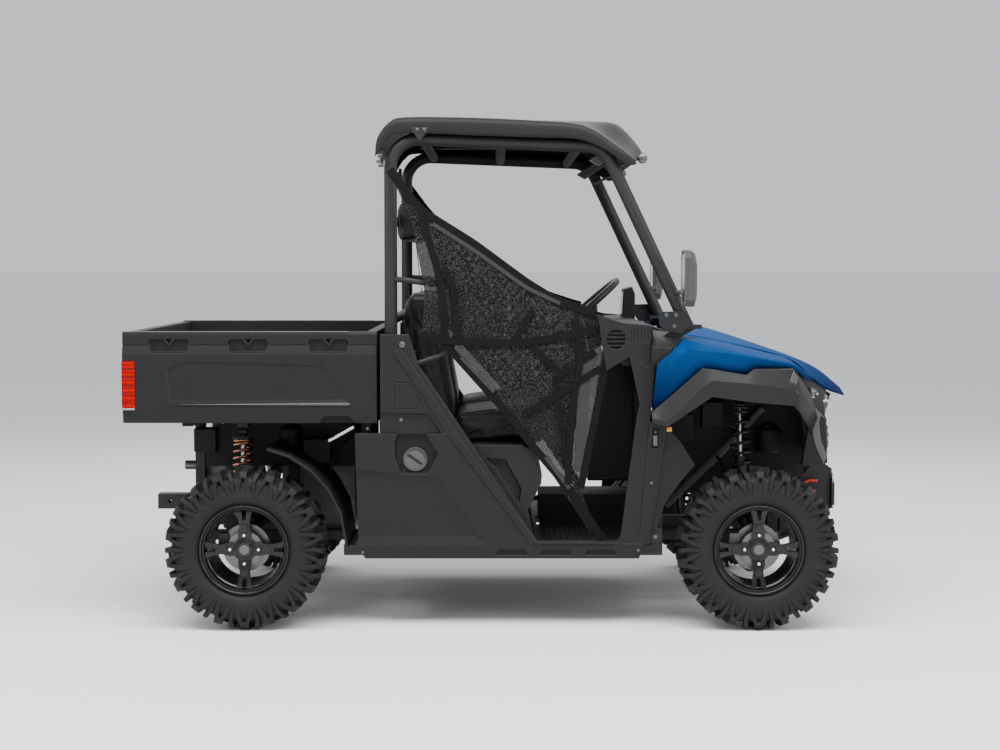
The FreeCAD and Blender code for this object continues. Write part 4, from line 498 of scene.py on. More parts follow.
def spline(points, steps):
    """Smooth curve through points."""
    points = [Vector(point) for point in points]
    ends = [points[0] * 2 - points[1]] + points + [points[-1] * 2 - points[-2]]
    curve = []
    for a, b, c, d in zip(ends, ends[1:], ends[2:], ends[3:]):
        for step in range(steps):
            t = step / steps
            curve.append((b * 2 + (c - a) * t + (a * 2 - b * 5 + c * 4 - d) * t ** 2
                          + (b * 3 - a - c * 3 + d) * t ** 3) / 2)
    return curve + [points[-1]]


def smooth_grid(rows, along, across):
    """Finer grid through rows of points, curved both ways."""
    rows = [spline(row, across) for row in rows]
    return list(zip(*[spline(column, along) for column in zip(*rows)]))


def straight(table, place):
    """Value at a place in a table of (place, value) points, along straight runs."""
    for (x0, v0), (x1, v1) in zip(table, table[1:]):
        if place <= x1:
            return v0 + (v1 - v0) * (place - x0) / (x1 - x0)
    return table[-1][1]


def rounded(points, bend, steps=5):
    """Path with each corner replaced by a short curve."""
    points = [Vector(point) for point in points]
    path = [points[0]]
    for before, corner, after in zip(points, points[1:], points[2:]):
        reach = min(bend, (before - corner).length * 0.45, (after - corner).length * 0.45)
        start = corner + (before - corner).normalized() * reach
        end = corner + (after - corner).normalized() * reach
        for step in range(steps + 1):
            t = step / steps
            path.append(start * (1 - t) ** 2 + corner * 2 * t * (1 - t) + end * t * t)
    path.append(points[-1])
    return path


def headings(path):
    """Each point of a path with the direction that it runs in there."""
    last = len(path) - 1
    return [(point, (path[min(index + 1, last)] - path[max(index - 1, 0)]).normalized())
            for index, point in enumerate(path)]


def swept(path, radius, sides):
    """Rings of a round section carried along a path without twist."""
    rings = []
    side = None
    for point, ahead in headings(path):
        if side is None:
            side = square_to(ahead, Vector((0, 1, 0)) if abs(ahead.y) < 0.9 else Vector((0, 0, 1)))
        side = square_to(ahead, side)
        rings.append(circle(point, side, ahead.cross(side), radius, sides))
    return rings


def coil(start, end, radius, wire, turns, sides=10, steps=20):
    """Helical spring between two points, with a closed turn at each end."""
    run = end - start
    ahead = run.normalized()
    side = square_to(ahead, Vector((1, 0, 0)))
    other = ahead.cross(side)
    path = []
    for index in range(int(turns * steps) + 1):
        turn = index / steps
        share = min(max((turn - 0.8) / (turns - 1.6), 0.0), 1.0)
        along = wire + share * (run.length - 2 * wire)
        angle = 2 * math.pi * turn
        path.append(start + ahead * along + side * math.cos(angle) * radius
                    + other * math.sin(angle) * radius)
    return Form().rings(swept(path, wire, sides))


# Wheels

TREAD_TOP = ((216, 0.965), (236, 0.985), (256, 1.0), (280, 0.985), (298, 0.90), (306, 0.72),
             (311, 0.45), (311, 0.0))
TREAD_BASE = ((212, 0.95), (233, 0.94), (252, 0.91), (268, 0.83), (277, 0.66), (283, 0.42),
              (286, 0.2), (286, 0.0))
CARCASS = ((153, 0.82), (172.6, 0.82), (174, 0.80), (178, 0.845), (181, 0.84), (184, 0.865), (192, 0.91),
           (204, 0.945), (214, 0.965), (219, 0.962), (236, 0.95), (256, 0.92), (272, 0.84), (281, 0.66),
           (286, 0.40), (288, 0.2))
TREAD_REPEAT = 40
SPOKES = (0, 90, 180, 270)
LIP_SHARE = 0.84
FACE_INSET = 42
NUT_CIRCLE = 55
LUG_LINES = (
    (((0, -5.2), (1.6, -4.4), (3.4, -1.6)), (7.5, 8.0, 6.5)),
    (((0, 5.2), (1.6, 4.4), (3.4, 1.6)), (7.5, 8.0, 6.5)),
    (((3.0, 0), (4.4, 0), (5.4, 1.2), (7.0, 3.0)), (12, 14, 14, 13)),
    (((0.8, -9.6), (2.6, -9.0), (4.2, -10.6), (5.6, -11.0)), (5.5, 7.0, 8.5, 8.5)),
    (((0.8, 9.6), (2.6, 9.0), (4.2, 10.6), (5.6, 11.0)), (5.5, 7.0, 8.5, 8.5)),
    (((0, 12.6), (1.6, 14.6), (3.6, 18.2)), (7.5, 8.0, 7.5)),
    (((0, 27.4), (1.6, 25.4), (3.6, 21.8)), (7.5, 8.0, 7.5)),
    (((3.2, 20), (4.6, 20), (5.6, 19.0), (7.0, 17.6)), (16, 17, 16, 14)),
)


def on_curve(curve, place):
    """Point at a place counted along the points of a curve."""
    low = min(int(place), len(curve) - 2)
    share = place - low
    return [a + (b - a) * share for a, b in zip(curve[low], curve[low + 1])]


def wheel_centre(end, side):
    """Middle of a tyre, at the end and side of the vehicle."""
    return AXLE_X[end], side * (HALF_WIDTH - HALF_TYRE[end]), AXLE_Z


def tread_lug(centre, half, side, turn, line, widths):
    """Rings of one bar of the tread, from the sidewall towards the middle of the crown."""
    cx, cy, cz = centre
    rings = []
    for (place, degrees), width in zip(line, widths):
        ring = []
        for curve, across in ((TREAD_BASE, -1.25), (TREAD_TOP, -1), (TREAD_TOP, 1), (TREAD_BASE, 1.25)):
            radius, share = on_curve(curve, place)
            angle = math.radians(turn + degrees) + across * width / radius
            ring.append((cx + radius * math.sin(angle), cy + side * share * half,
                         cz + radius * math.cos(angle)))
        rings.append(ring)
    return rings


def tyre_form(end, side):
    """Carcass with its bars; the bars of the two shoulders are set half a step apart."""
    centre = wheel_centre(end, side)
    half = HALF_TYRE[end]
    profile = [(r, -share * half) for r, share in CARCASS]
    profile += [(r, share * half) for r, share in reversed(CARCASS)]
    lugs = Form()
    for shoulder in (-1, 1):
        for step in range(360 // TREAD_REPEAT):
            turn = step * TREAD_REPEAT + (TREAD_REPEAT / 2 if shoulder != side else 0)
            for line, widths in LUG_LINES:
                lugs.rings(tread_lug(centre, half, shoulder, turn, line, widths))
    return Form().turned(profile, centre, 108), lugs


def spoke_point(centre, side, degrees, across, out, depth):
    """Point of a wheel face given across and along a spoke, and outwards from the wheel's middle."""
    turn = math.radians(degrees)
    x, y, z = centre
    return (x + across * math.cos(turn) + out * math.sin(turn), y + side * depth,
            z - across * math.sin(turn) + out * math.cos(turn))


def spoke_bar(centre, side, degrees, stations):
    """Rings of a bar of a spoke through (out, one edge, other edge, back, front) stations."""
    return [[spoke_point(centre, side, degrees, across, out, depth)
             for across, depth in ((left, back), (left, front), (right, front), (right, back))]
            for out, left, right, back, front in stations]


def rim_form(end, side):
    """Barrel, four forked spokes with raised pads, and the hub face."""
    centre = wheel_centre(end, side)
    half = HALF_TYRE[end]
    lip = half * LIP_SHARE
    face = half - FACE_INSET
    barrel = [(172, lip - 5), (172, lip + 3), (170, lip + 6), (166, lip + 6), (162, lip + 2), (160, lip - 5),
              (154, lip - 9), (151, lip - 22), (144, lip - 28), (142, lip - 50), (140, -lip),
              (150, -lip + 6), (172, -lip - 4), (172, -lip + 4), (150, -lip + 9), (150, lip - 8)]
    form = Form().turned(barrel, centre, 96, side)
    root = ((26, -24, 24, face - 16, face + 1), (60, -25, 25, face - 16, face + 4),
            (88, -18, 18, face - 14, face + 8), (112, -22, 22, face - 12, face + 12))
    forks = [((110, hand * 7, hand * 22, face - 12, face + 11.8),
              (132, hand * 7.5, hand * 27, face - 10, face + 17),
              (150, hand * 9, hand * 33, lip - 28, lip - 6)) for hand in (-1, 1)]
    pad = ((64, -10, 10, face + 2, face + 12), (72, -16, 16, face + 2, face + 14),
           (96, -13, 13, face + 6, face + 16), (104, -8, 8, face + 8, face + 13))
    for degrees in SPOKES:
        for bar in (root, *forks, pad):
            form.rings(spoke_bar(centre, side, degrees, bar))
    hub = [(0.5, face + 13), (26, face + 13), (31, face + 11), (33, face + 5), (40, face + 4), (46, face),
           (47, face - 16)]
    cap = [(18, face + 13), (19, face + 14.5), (23, face + 14.5), (24, face + 13)]
    return form.turned(hub, centre, 64, side).turned(cap, centre, 48, side)


def nut_form(end, side):
    """Domed wheel nuts in the root of each spoke."""
    centre = wheel_centre(end, side)
    face = HALF_TYRE[end] - FACE_INSET
    profile = [(9.5, face - 2), (9.5, face + 12), (8, face + 14), (6.6, face + 20), (3.5, face + 23),
               (0.3, face + 24)]
    form = Form()
    for degrees in SPOKES:
        x, _, z = spoke_point(centre, side, degrees, 0, NUT_CIRCLE, 0)
        form.turned(profile, (x, centre[1], z), 18, side)
    return form


# Roof, hood and fenders

ROOF_SIDE = ((-448, 1826), (-439, 1889), (-395, 1944), (-331, 1962), (-74, 1960), (169, 1949), (311, 1939),
             (383, 1917), (454, 1871), (526, 1817), (547, 1792))
ROOF_MIDDLE = ((-451, 1826), (-441, 1889), (-400, 1945), (-331, 1966), (-74, 1967), (169, 1967), (311, 1966),
               (400, 1964), (491, 1955), (560, 1891), (601, 1830))
ROOF_LIP = ((-440, 1824), (-424, 1850), (-402, 1876), (-345, 1899), (-74, 1890), (169, 1882), (300, 1878),
            (370, 1863), (440, 1830), (500, 1786), (520, 1776))
ROOF_LANES = ((643, 0, 26), (636, 0, 10), (612, 0, 2), (560, 0.08, 0), (470, 0.5, 0), (400, 0.85, 0),
              (330, 1, 0), (140, 1, 0))


def roof_row(y, share, drop):
    """Points along the roof between its side and middle lines, lowered by the drop."""
    row = []
    for (x0, z0), (x1, z1) in zip(ROOF_SIDE, ROOF_MIDDLE):
        low = drop if z0 > 1870 else drop * 0.5
        row.append((x0 + (x1 - x0) * share, y, z0 + (z1 - z0) * share - low))
    return row


def roof_form():
    """Domed roof with its turned lip, one skin across the vehicle."""
    lip = [(x, -642, z) for x, z in ROOF_LIP]
    rows = [lip] + [roof_row(-y, share, drop) for y, share, drop in ROOF_LANES]
    rows += [[(x, -y, z) for x, y, z in row] for row in reversed(rows)]
    return Form().skin(smooth_grid(rows, 3, 5))


HOOD_STATIONS = ((700, 505, 1132, 1172), (900, 497, 1096, 1131), (1155, 480, 1034, 1048),
                 (1254, 452, 960, 1012), (1330, 400, 905, 975), (1421, 300, 873, 900))
HOOD_CROWN = ((1, 0), (0.90, 0.30), (0.76, 0.66), (0.70, 0.80), (0.64, 0.88), (0.35, 0.96), (0, 1))


def hood_form():
    """Creased hood, one skin across the vehicle."""
    rows = []
    for x, half, edge, middle in HOOD_STATIONS:
        row = [(x, -half * share, edge + (middle - edge) * rise - 3) for share, rise in HOOD_CROWN]
        rows.append(row + [(px, -py, pz) for px, py, pz in reversed(row[:-1])])
    return Form().skin(smooth_grid(rows, 8, 3))


FENDER_STATIONS = ((628, (50, 1112), (-28, 1068), (-38, 800)), (700, (54, 1110), (-28, 1066), (-39, 850)),
                   (900, (67, 1088), (-24, 1050), (-36, 900)), (1155, (115, 1024), (24, 1004), (8, 900)),
                   (1240, (176, 962), (120, 948), (108, 900)))
FENDER_HALF = 700
FENDER_STEPS = 20
FENDER_HEAD = ((628, 1018), (740, 1122), (760, 1300), (1240, 1300))
FENDER_FOOT = ((628, 858), (666, 890), (798, 1004), (834, 1001), (965, 979), (996, 1001), (1144, 1001),
               (1240, 941))


def fender_row(station, foot, head=1300):
    """Points across the fender, evenly spread from the hood's edge down to the flare."""
    x, *corners = station
    half = straight([(s[0], s[1]) for s in HOOD_STATIONS], x)
    edge = straight([(s[0], s[2]) for s in HOOD_STATIONS], x)
    (y1, z1), (y2, z2), (y3, z3) = [(inset - FENDER_HALF, z) for inset, z in corners]
    line = [(x, -half - 1, edge - 3), (x, (y1 - half) / 2, (z1 + edge) / 2), (x, y1, z1),
            (x, y2 + 8, z2 + 12), (x, y2, z2 - 10), (x, y3, z3)]
    kept = []
    for point in spline(line, 8):
        if point.z < foot:
            break
        if point.z > head:
            above = point
            continue
        if not kept and point.z < line[0][2] - 1:
            kept.append(above.lerp(point, (above.z - head) / (above.z - point.z)))
        kept.append(point)
    last = len(kept) - 1
    spread = []
    for step in range(FENDER_STEPS):
        place = last * step / FENDER_STEPS
        spread.append(kept[int(place)].lerp(kept[min(int(place) + 1, last)], place % 1))
    return spread + [Vector((x, kept[-1].y, foot))]


def fender_station(x):
    """Corners of the fender's section at x, as in FENDER_STATIONS."""
    tables = [[(station[0], station[corner][axis]) for station in FENDER_STATIONS]
              for corner in (1, 2, 3) for axis in (0, 1)]
    v = [straight(table, x) for table in tables]
    return x, (v[0], v[1]), (v[2], v[3]), (v[4], v[5])


def cowl_form():
    """Right cowl side over the chamfered rear corner of the fender."""
    rows = [fender_row(fender_station(x), straight(FENDER_HEAD, x)) for x in (628, 650, 675, 700, 722)]
    rear = [Vector((606, point.y, point.z)) for point in rows[0]]
    return Form().skin([rear] + rows)


def fender_form():
    """Right front fender between the hood and the flare."""
    rows = []
    for x in (628, 650, 700, 740, 760, 798, 834, 880, 920, 965, 980, 996, 1050, 1100, 1144, 1170, 1200, 1239):
        rows.append(fender_row(fender_station(x), straight(FENDER_FOOT, x), straight(FENDER_HEAD, x)))
    rear = [Vector((606 + 22 * min(1, (point.z - 835) / 198), point.y, point.z)) for point in rows[0]]
    return Form().skin([rear] + rows)


# Upholstery

def inset_outline(outline, amount):
    """Outline of (x, z) points drawn in towards its middle."""
    middle = Vector((sum(p[0] for p in outline), sum(p[1] for p in outline))) / len(outline)
    drawn = []
    for x, z in outline:
        away = Vector((x, z)) - middle
        drawn.append(middle + away * max(0.1, 1 - amount / away.length))
    return [(point.x, point.y) for point in drawn]


def pad_form(outline, y, half):
    """Stuffed form whose sides pull in towards its two ends."""
    rings = []
    for share, amount in ((-1, 26), (-0.96, 12), (-0.85, 4), (-0.5, 1), (0, 0), (0.5, 1), (0.85, 4),
                          (0.96, 12), (1, 26)):
        rings.append([(x, y + share * half, z) for x, z in inset_outline(outline, amount)])
    return Form().rings(rings)


PAD_VOXEL = 6.0
PAD_FILL = 8
SEAM_DEPTH = 7.0
SEAM_WIDTH = 9.0
PIPING = 2.6
FILL_FRAMES = 20
RAY_REACH = 0.6
SEAM_STEPS = 14
SEAT_Y = 311.5
SEAT_HALF = 234.5
SEAM = SEAT_HALF * 0.62
REST_HALF = SEAT_HALF * 0.56
REST_SEAM = REST_HALF * 0.7
PADS = (
    ("seat_cushion", "seat_cushions", SEAT_HALF, (0, 0, -1),
     [(-150, 703), (60, 703), (200, 703), (238, 745), (238, 798), (188, 846), (60, 838), (-150, 808)],
     [[(-120, -SEAM, 900), (150, -SEAM, 900), (215, 20 - SEAM, 900)],
      [(-120, SEAM, 900), (150, SEAM, 900), (215, SEAM - 20, 900)],
      [(120, -SEAM, 900), (120, SEAM, 900)]]),
    ("seat_back", "seat_backs", SEAT_HALF, (-1, 0, 0),
     [(-322, 720), (-164, 720), (-164, 850), (-182, 951), (-238, 1270), (-262, 1292), (-318, 1292),
      (-340, 1250), (-336, 900)],
     [[(0, -SEAM, 760), (0, -SEAM, 1120), (0, -SEAM * 0.72, 1255)],
      [(0, SEAM, 760), (0, SEAM, 1120), (0, SEAM * 0.72, 1255)],
      [(0, -SEAM, 1060), (0, 0, 1040), (0, SEAM, 1060)]]),
    ("headrest", "headrests", REST_HALF, (-1, 0, 0),
     [(-372, 1490), (-298, 1500), (-284, 1560), (-292, 1636), (-308, 1650), (-372, 1640)],
     [[(0, -REST_SEAM, 1525), (0, -REST_SEAM, 1615), (0, REST_SEAM, 1615), (0, REST_SEAM, 1525),
       (0, -REST_SEAM, 1525)]]),
)


def voxel_mesh(thing, size):
    """Remesh the object evenly, with faces of a size in millimetres."""
    modifier = thing.modifiers.new("remesh", "REMESH")
    modifier.mode = "VOXEL"
    modifier.voxel_size = size * MM
    modifier.use_smooth_shade = True
    apply_modifiers(thing)


def apply_modifiers(thing):
    """Replace the object's mesh by what its modifiers make of it."""
    bpy.context.view_layer.update()
    seen = thing.evaluated_get(bpy.context.evaluated_depsgraph_get())
    mesh = bpy.data.meshes.new_from_object(seen)
    for material in thing.data.materials:
        if material.name not in mesh.materials:
            mesh.materials.append(material)
    thing.modifiers.clear()
    thing.data = mesh


def read_points(mesh):
    points = np.zeros(len(mesh.vertices) * 3)
    mesh.vertices.foreach_get("co", points)
    return points.reshape(-1, 3)


def write_points(mesh, points):
    mesh.vertices.foreach_set("co", points.ravel())
    mesh.update()


def inflate(thing, cap):
    """Fill the pad with a short cloth simulation; no point moves further than the cap."""
    start = read_points(thing.data)
    cloth = thing.modifiers.new("cloth", "CLOTH")
    cloth.settings.use_pressure = True
    cloth.settings.uniform_pressure_force = 4.0
    cloth.settings.quality = 4
    cloth.settings.mass = 0.3
    cloth.settings.effector_weights.gravity = 0.0
    cloth.point_cache.frame_start = 1
    cloth.point_cache.frame_end = FILL_FRAMES
    for number in range(1, FILL_FRAMES + 1):
        bpy.context.scene.frame_set(number)
    apply_modifiers(thing)
    bpy.context.scene.frame_set(1)
    move = read_points(thing.data) - start
    reach = np.linalg.norm(move, axis=1, keepdims=True)
    write_points(thing.data, start + move * np.minimum(1.0, cap * MM / np.maximum(reach, 1e-9)))


def surface_tree(thing):
    """Search tree of the object's faces."""
    mesh = thing.data
    return BVHTree.FromPolygons([v.co for v in mesh.vertices], [tuple(p.vertices) for p in mesh.polygons])


def onto(tree, points, direction, lift=0.0):
    """Points in millimetres carried along a direction to the pad's surface."""
    ahead = Vector(direction).normalized()
    landed = []
    for point in points:
        start = Vector(point) * MM - ahead * RAY_REACH
        hit = tree.ray_cast(start, ahead)[0]
        if hit is not None:
            landed.append((hit - ahead * lift * MM) / MM)
    return landed


def sewn_channel(thing, path, depth, width):
    """Draw the pad in along a seam."""
    points = read_points(thing.data)
    line = np.array([tuple(p) for p in path]) * MM
    nearest = np.full(len(points), 1.0)
    for start, end in zip(line, line[1:]):
        run = end - start
        share = np.clip((points - start) @ run / max(run @ run, 1e-12), 0, 1)
        gap = np.linalg.norm(points - (start + share[:, None] * run), axis=1)
        nearest = np.minimum(nearest, gap)
    normals = np.zeros(len(points) * 3)
    thing.data.vertices.foreach_get("normal", normals)
    push = depth * MM * np.exp(-(nearest / (width * MM)) ** 2)
    write_points(thing.data, points - normals.reshape(-1, 3) * push[:, None])


def between(points, steps):
    """More points along a path of straight runs."""
    path = []
    for start, end in zip(points, points[1:]):
        for step in range(steps):
            share = step / steps
            path.append(tuple(a + (b - a) * share for a, b in zip(start, end)))
    return path + [tuple(points[-1])]


def upholstered(name, replaced, half, direction, outline, seams):
    """Make one pad with sewn channels and piping, and its twin on the other side."""
    pad = pad_form(outline, -SEAT_Y, half).piece(name + "_right", "seat_cover", smooth=180)
    voxel_mesh(pad, PAD_VOXEL)
    inflate(pad, PAD_FILL)
    tree = surface_tree(pad)
    lines = []
    for seam in seams:
        path = onto(tree, between([(x, across - SEAT_Y, z) for x, across, z in seam], SEAM_STEPS), direction)
        if len(path) > 2:
            sewn_channel(pad, path, SEAM_DEPTH, SEAM_WIDTH)
            lines.append(path)
    pad.data.polygons.foreach_set("use_smooth", [True] * len(pad.data.polygons))
    tree = surface_tree(pad)
    cords = Form()
    for path in lines:
        landed = onto(tree, path, direction, 0.5)
        if len(landed) > 2:
            cords.tube(landed, PIPING, sides=8, bend=6)
    welt = cords.piece(name + "_piping_right", "seat_piping", smooth=60)
    for thing in (pad, welt):
        mesh = thing.data.copy()
        points = read_points(mesh)
        points[:, 1] *= -1
        write_points(mesh, points)
        mesh.flip_normals()
        twin = linked(thing.name.replace("_right", "_left"), mesh)
        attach(twin, "chassis")
    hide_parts(replaced)


# Straps and nets

def strap_form(path, width, y, thick):
    """Flat strap along (x, z) points in a plane across the vehicle."""
    out = Vector((0, thick / 2, 0))
    rings = []
    for point, ahead in headings(rounded([(x, y, z) for x, z in path], 30)):
        across = Vector((-ahead.z, 0, ahead.x)) * width / 2
        rings.append([point - across - out * 0.6, point - out, point + across - out * 0.6,
                      point + across + out * 0.6, point + out, point - across + out * 0.6])
    return Form().rings(rings)


def belt_form(path, width, facing, thick=1.6):
    """Flat strap along three-dimensional points, its broad side turned to a direction."""
    rings = []
    for point, ahead in headings(rounded(path, 40)):
        across = ahead.cross(Vector(facing)).normalized()
        out = across.cross(ahead).normalized() * thick / 2
        across = across * width / 2
        rings.append([point - across - out, point + across - out, point + across + out, point - across + out])
    return Form().rings(rings)


def sheet_form(outline, y, pitch, wave):
    """Sheet with an outline of (x, z) points, cut into a grid and slightly waved."""
    work = bmesh.new()
    work.faces.new([work.verts.new((x, y, z)) for x, z in outline])
    for axis, values in ((0, [x for x, _ in outline]), (2, [z for _, z in outline])):
        place = min(values) + pitch
        while place < max(values):
            plane = [0.0, 0.0, 0.0]
            normal = [0.0, 0.0, 0.0]
            plane[axis] = place
            normal[axis] = 1.0
            parts = work.verts[:] + work.edges[:] + work.faces[:]
            bmesh.ops.bisect_plane(work, geom=parts, plane_co=plane, plane_no=normal)
            place += pitch
    work.verts.index_update()
    form = Form([(v.co.x, y + wave * math.sin(v.co.x / 90) * math.cos(v.co.z / 120), v.co.z)
                 for v in work.verts], [tuple(v.index for v in face.verts) for face in work.faces])
    work.free()
    return form


NET_OUTLINE = [(-392, 1748), (-300, 1600), (-62, 1470), (140, 1320), (236, 1258), (300, 1230), (398, 1208),
               (430, 1005), (334, 540), (408, 350), (386, 350), (222, 600), (120, 760), (-185, 1100),
               (-268, 1125), (-262, 1300), (-308, 1560)]
NET_STRAPS = (
    ("top", 34, 0, [(-394, 1759), (-309, 1644), (-263, 1595), (-72, 1476), (132, 1326), (239, 1261),
                    (346, 1226), (398, 1211)]),
    ("rear_upright", 26, 1, [(-271, 1579), (-198, 1330), (-179, 1111)]),
    ("rear_second", 26, 2, [(-187, 1384), (-145, 1292), (-137, 1111)]),
    ("middle", 28, 3, [(-279, 1127), (-171, 1104), (97, 1096), (316, 1127), (396, 1154)]),
    ("diagonal", 30, 0, [(-187, 1100), (63, 820), (147, 709), (308, 517), (408, 360)]),
    ("front", 28, 1, [(431, 1000), (339, 536)]),
    ("cross_long", 26, 2, [(415, 1000), (116, 816)]),
    ("cross_short", 24, 3, [(155, 1226), (82, 1104)]),
    ("cross_low", 24, 1, [(139, 1092), (281, 958)]),
    ("cross_front", 24, 2, [(396, 1062), (239, 962)]),
    ("front_inner", 26, 3, [(316, 1192), (339, 1050), (304, 835), (289, 552)]),
    ("low_upright", 24, 1, [(239, 958), (296, 552)]),
    ("foot", 28, 2, [(408, 362), (424, 341)]),
)
NET_BANDS = (
    ("upper", 15, 1, [(-229, 1552), (-72, 1453), (132, 1307), (258, 1249)]),
    ("middle", 13, 2, [(-122, 1042), (-58, 975), (5, 908)]),
    ("lower", 16, 2, [(204, 659), (250, 597), (296, 536)]),
    ("front", 44, 0, [(378, 1050), (352, 960), (343, 800), (334, 602)]),
)


# Settings

def length(name, description, default, low, high):
    return bpy.props.FloatProperty(name=name, description=description, default=default, min=low, max=high,
                                   unit="LENGTH")


def colour(name, description, *default):
    return bpy.props.FloatVectorProperty(name=name, description=description, subtype="COLOR",
                                         default=default, min=0.0, max=1.0)


class VehicleSizes(bpy.types.PropertyGroup):
    """Sizes of the pieces that the scene adds to the frame."""

    spring_radius: length("Spring Radius", "Mean radius of a suspension spring", 0.036, 0.02, 0.045)
    spring_wire: length("Spring Wire", "Radius of the spring wire", 0.0062, 0.003, 0.01)
    spring_turns: bpy.props.FloatProperty(
        name="Spring Turns", description="Turns of a suspension spring", default=8.0, min=4.0, max=14.0)
    belt_width: length("Belt Width", "Width of the seat belts", 0.047, 0.03, 0.06)


class VehicleColours(bpy.types.PropertyGroup):
    """Colours of the finishes."""

    # These two paint colours hold painted light: the darker one is the paint in painted shade at the foot of
    # the fenders, the lighter one is the paint as lit towards the top of the hood.
    paint_low: colour("Paint, Low", "Body paint at the foot of the fenders", 0.0, 0.0022, 0.028)
    paint_high: colour("Paint, High", "Body paint towards the top of the hood", 0.0, 0.046, 0.16)
    moulding: colour("Moulding", "Body panels", 0.012, 0.012, 0.0125)
    flare: colour("Flare", "Wheel arch flares and dash sides", 0.015, 0.015, 0.0148)
    tube: colour("Tube", "Powder-coated tubes", 0.014, 0.014, 0.0145)
    seat: colour("Seat", "Seat covers", 0.011, 0.011, 0.0115)
    piping: colour("Piping", "Piping of the seats", 0.30, 0.31, 0.32)
    strap: colour("Strap", "Straps of the side nets", 0.006, 0.006, 0.0062)
    mesh: colour("Mesh", "Knitted mesh of the side nets", 0.010, 0.010, 0.010)
    floor: colour("Floor", "Studio floor", 0.89, 0.89, 0.89)


# Pieces

FLOOR_REACH = 300000
WORLD_COLOUR = (0.93, 0.95, 1.0, 1)
WORLD_STRENGTH = 0.84
CAMERA_PLACE = (0.028, -7.485, 1.399)
CAMERA_TILT = 3.57
CAMERA_LENS = 64
LIGHTS = (
    ("overhead", (0.0, -2.6, 4.9), (22, 0, 0), 6.5, 2.2, 540),
    ("front_fill", (1.4, -8.0, 4.6), (58, 0, 8), 5.0, 1.6, 20),
    ("nose_fill", (5.4, -2.4, 2.6), (72, 0, 66), 2.4, 2.0, 90),
    ("tail_fill", (-5.4, -2.4, 2.6), (72, 0, -66), 2.4, 2.0, 70),
    ("far_fill", (0.0, 4.6, 4.2), (-48, 0, 0), 7.0, 1.8, 130),
)


def stand(name, data, place, turn):
    """Lamp or camera at a place, turned by degrees about its axes."""
    thing = linked(name, data)
    thing.location = place
    thing.rotation_euler = [math.radians(angle) for angle in turn]
    return thing


class BuildStage(bpy.types.Operator):
    """Lay the floor, light it and set up the camera."""

    bl_idname = "vehicle.build_stage"
    bl_label = "Stage"

    def execute(self, context):
        edges = (-FLOOR_REACH, FLOOR_REACH)
        Form().skin([[(x, y, 0) for x in edges] for y in edges]).thing("floor", "studio_floor")
        for name, place, turn, wide, deep, power in LIGHTS:
            data = bpy.data.lights.new(name, "AREA")
            data.shape = "RECTANGLE"
            data.size = wide
            data.size_y = deep
            data.energy = power
            stand(name, data, place, turn)
        world = bpy.data.worlds.new("studio")
        world.use_nodes = True
        background = world.node_tree.nodes["Background"]
        background.inputs["Color"].default_value = WORLD_COLOUR
        background.inputs["Strength"].default_value = WORLD_STRENGTH
        context.scene.world = world
        data = bpy.data.cameras.new("camera")
        data.lens = CAMERA_LENS
        data.sensor_width = 36
        context.scene.camera = stand("camera", data, CAMERA_PLACE, (90 - CAMERA_TILT, 0, 0))
        return {"FINISHED"}


class FinishBody(bpy.types.Operator):
    """Finish the moulded panels, the mirrors and the fuel cap."""

    bl_idname = "vehicle.finish_body"
    bl_label = "Body Panels"

    def execute(self, context):
        dress("moulded_black", "door_surrounds", "side_panels", "seat_base", "floor_tub", "front_fascia",
              "rear_liners", "cargo_bed", "tailgate", "dashboard", "driver_controls")
        dress("moulded_grey", "fender_flares")
        dress("mirror_grey", "mirrors")
        dress("cap_steel", "fuel_cap")
        return {"FINISHED"}


ROOF_RIBS = (-420, -160, 160, 420)


class FitPanels(bpy.types.Operator):
    """Fit the smooth roof with its ribs, the hood, the front fenders and the cowl sides."""

    bl_idname = "vehicle.fit_panels"
    bl_label = "Roof, Hood and Fenders"

    def execute(self, context):
        roof_form().piece("roof_skin", "moulded_black", smooth=80, thick=5, replaces=("roof",))
        ribs = Form()
        for y in ROOF_RIBS:
            ribs.box((-330, 380), (y - 16, y + 16), (1906, 1914))
        ribs.piece("roof_ribs", "moulded_black", edge=3)
        hood_form().piece("hood_skin", "blue_paint", smooth=60, thick=5, replaces=("hood",))
        fender_form().both().piece("fender_skins", "blue_paint", smooth=60, thick=4,
                                   replaces=("front_fenders",))
        cowl_form().both().piece("cowl_sides", "moulded_black", smooth=60, thick=4)
        return {"FINISHED"}


class FinishChassis(bpy.types.Operator):
    """Finish the frame, suspension and drive line."""

    bl_idname = "vehicle.finish_chassis"
    bl_label = "Chassis"

    def execute(self, context):
        dress("cage_black", "main_frame", "front_arms", "rear_suspension", "roll_cage", "cowl_brackets",
              "side_guards", "front_bumper", "hitch", "column_bearing", "steering_wheel")
        dress("cast_grey", "gear_cases", "engine", "knuckle_right", "knuckle_left")
        dress("satin_steel", "steering_rack", "muffler", "hub_front_right", "hub_front_left",
              "hub_rear_right", "hub_rear_left")
        dress("spring_black", "dampers")
        dress("boot_rubber", "half_shafts")
        return {"FINISHED"}


DAMPERS = ((985, (470.5, 428), (405.5, 877.7)), (-998, (430, 422), (400, 748.2)))
LOWER_SEAT = 0.30
UPPER_SEAT = 46


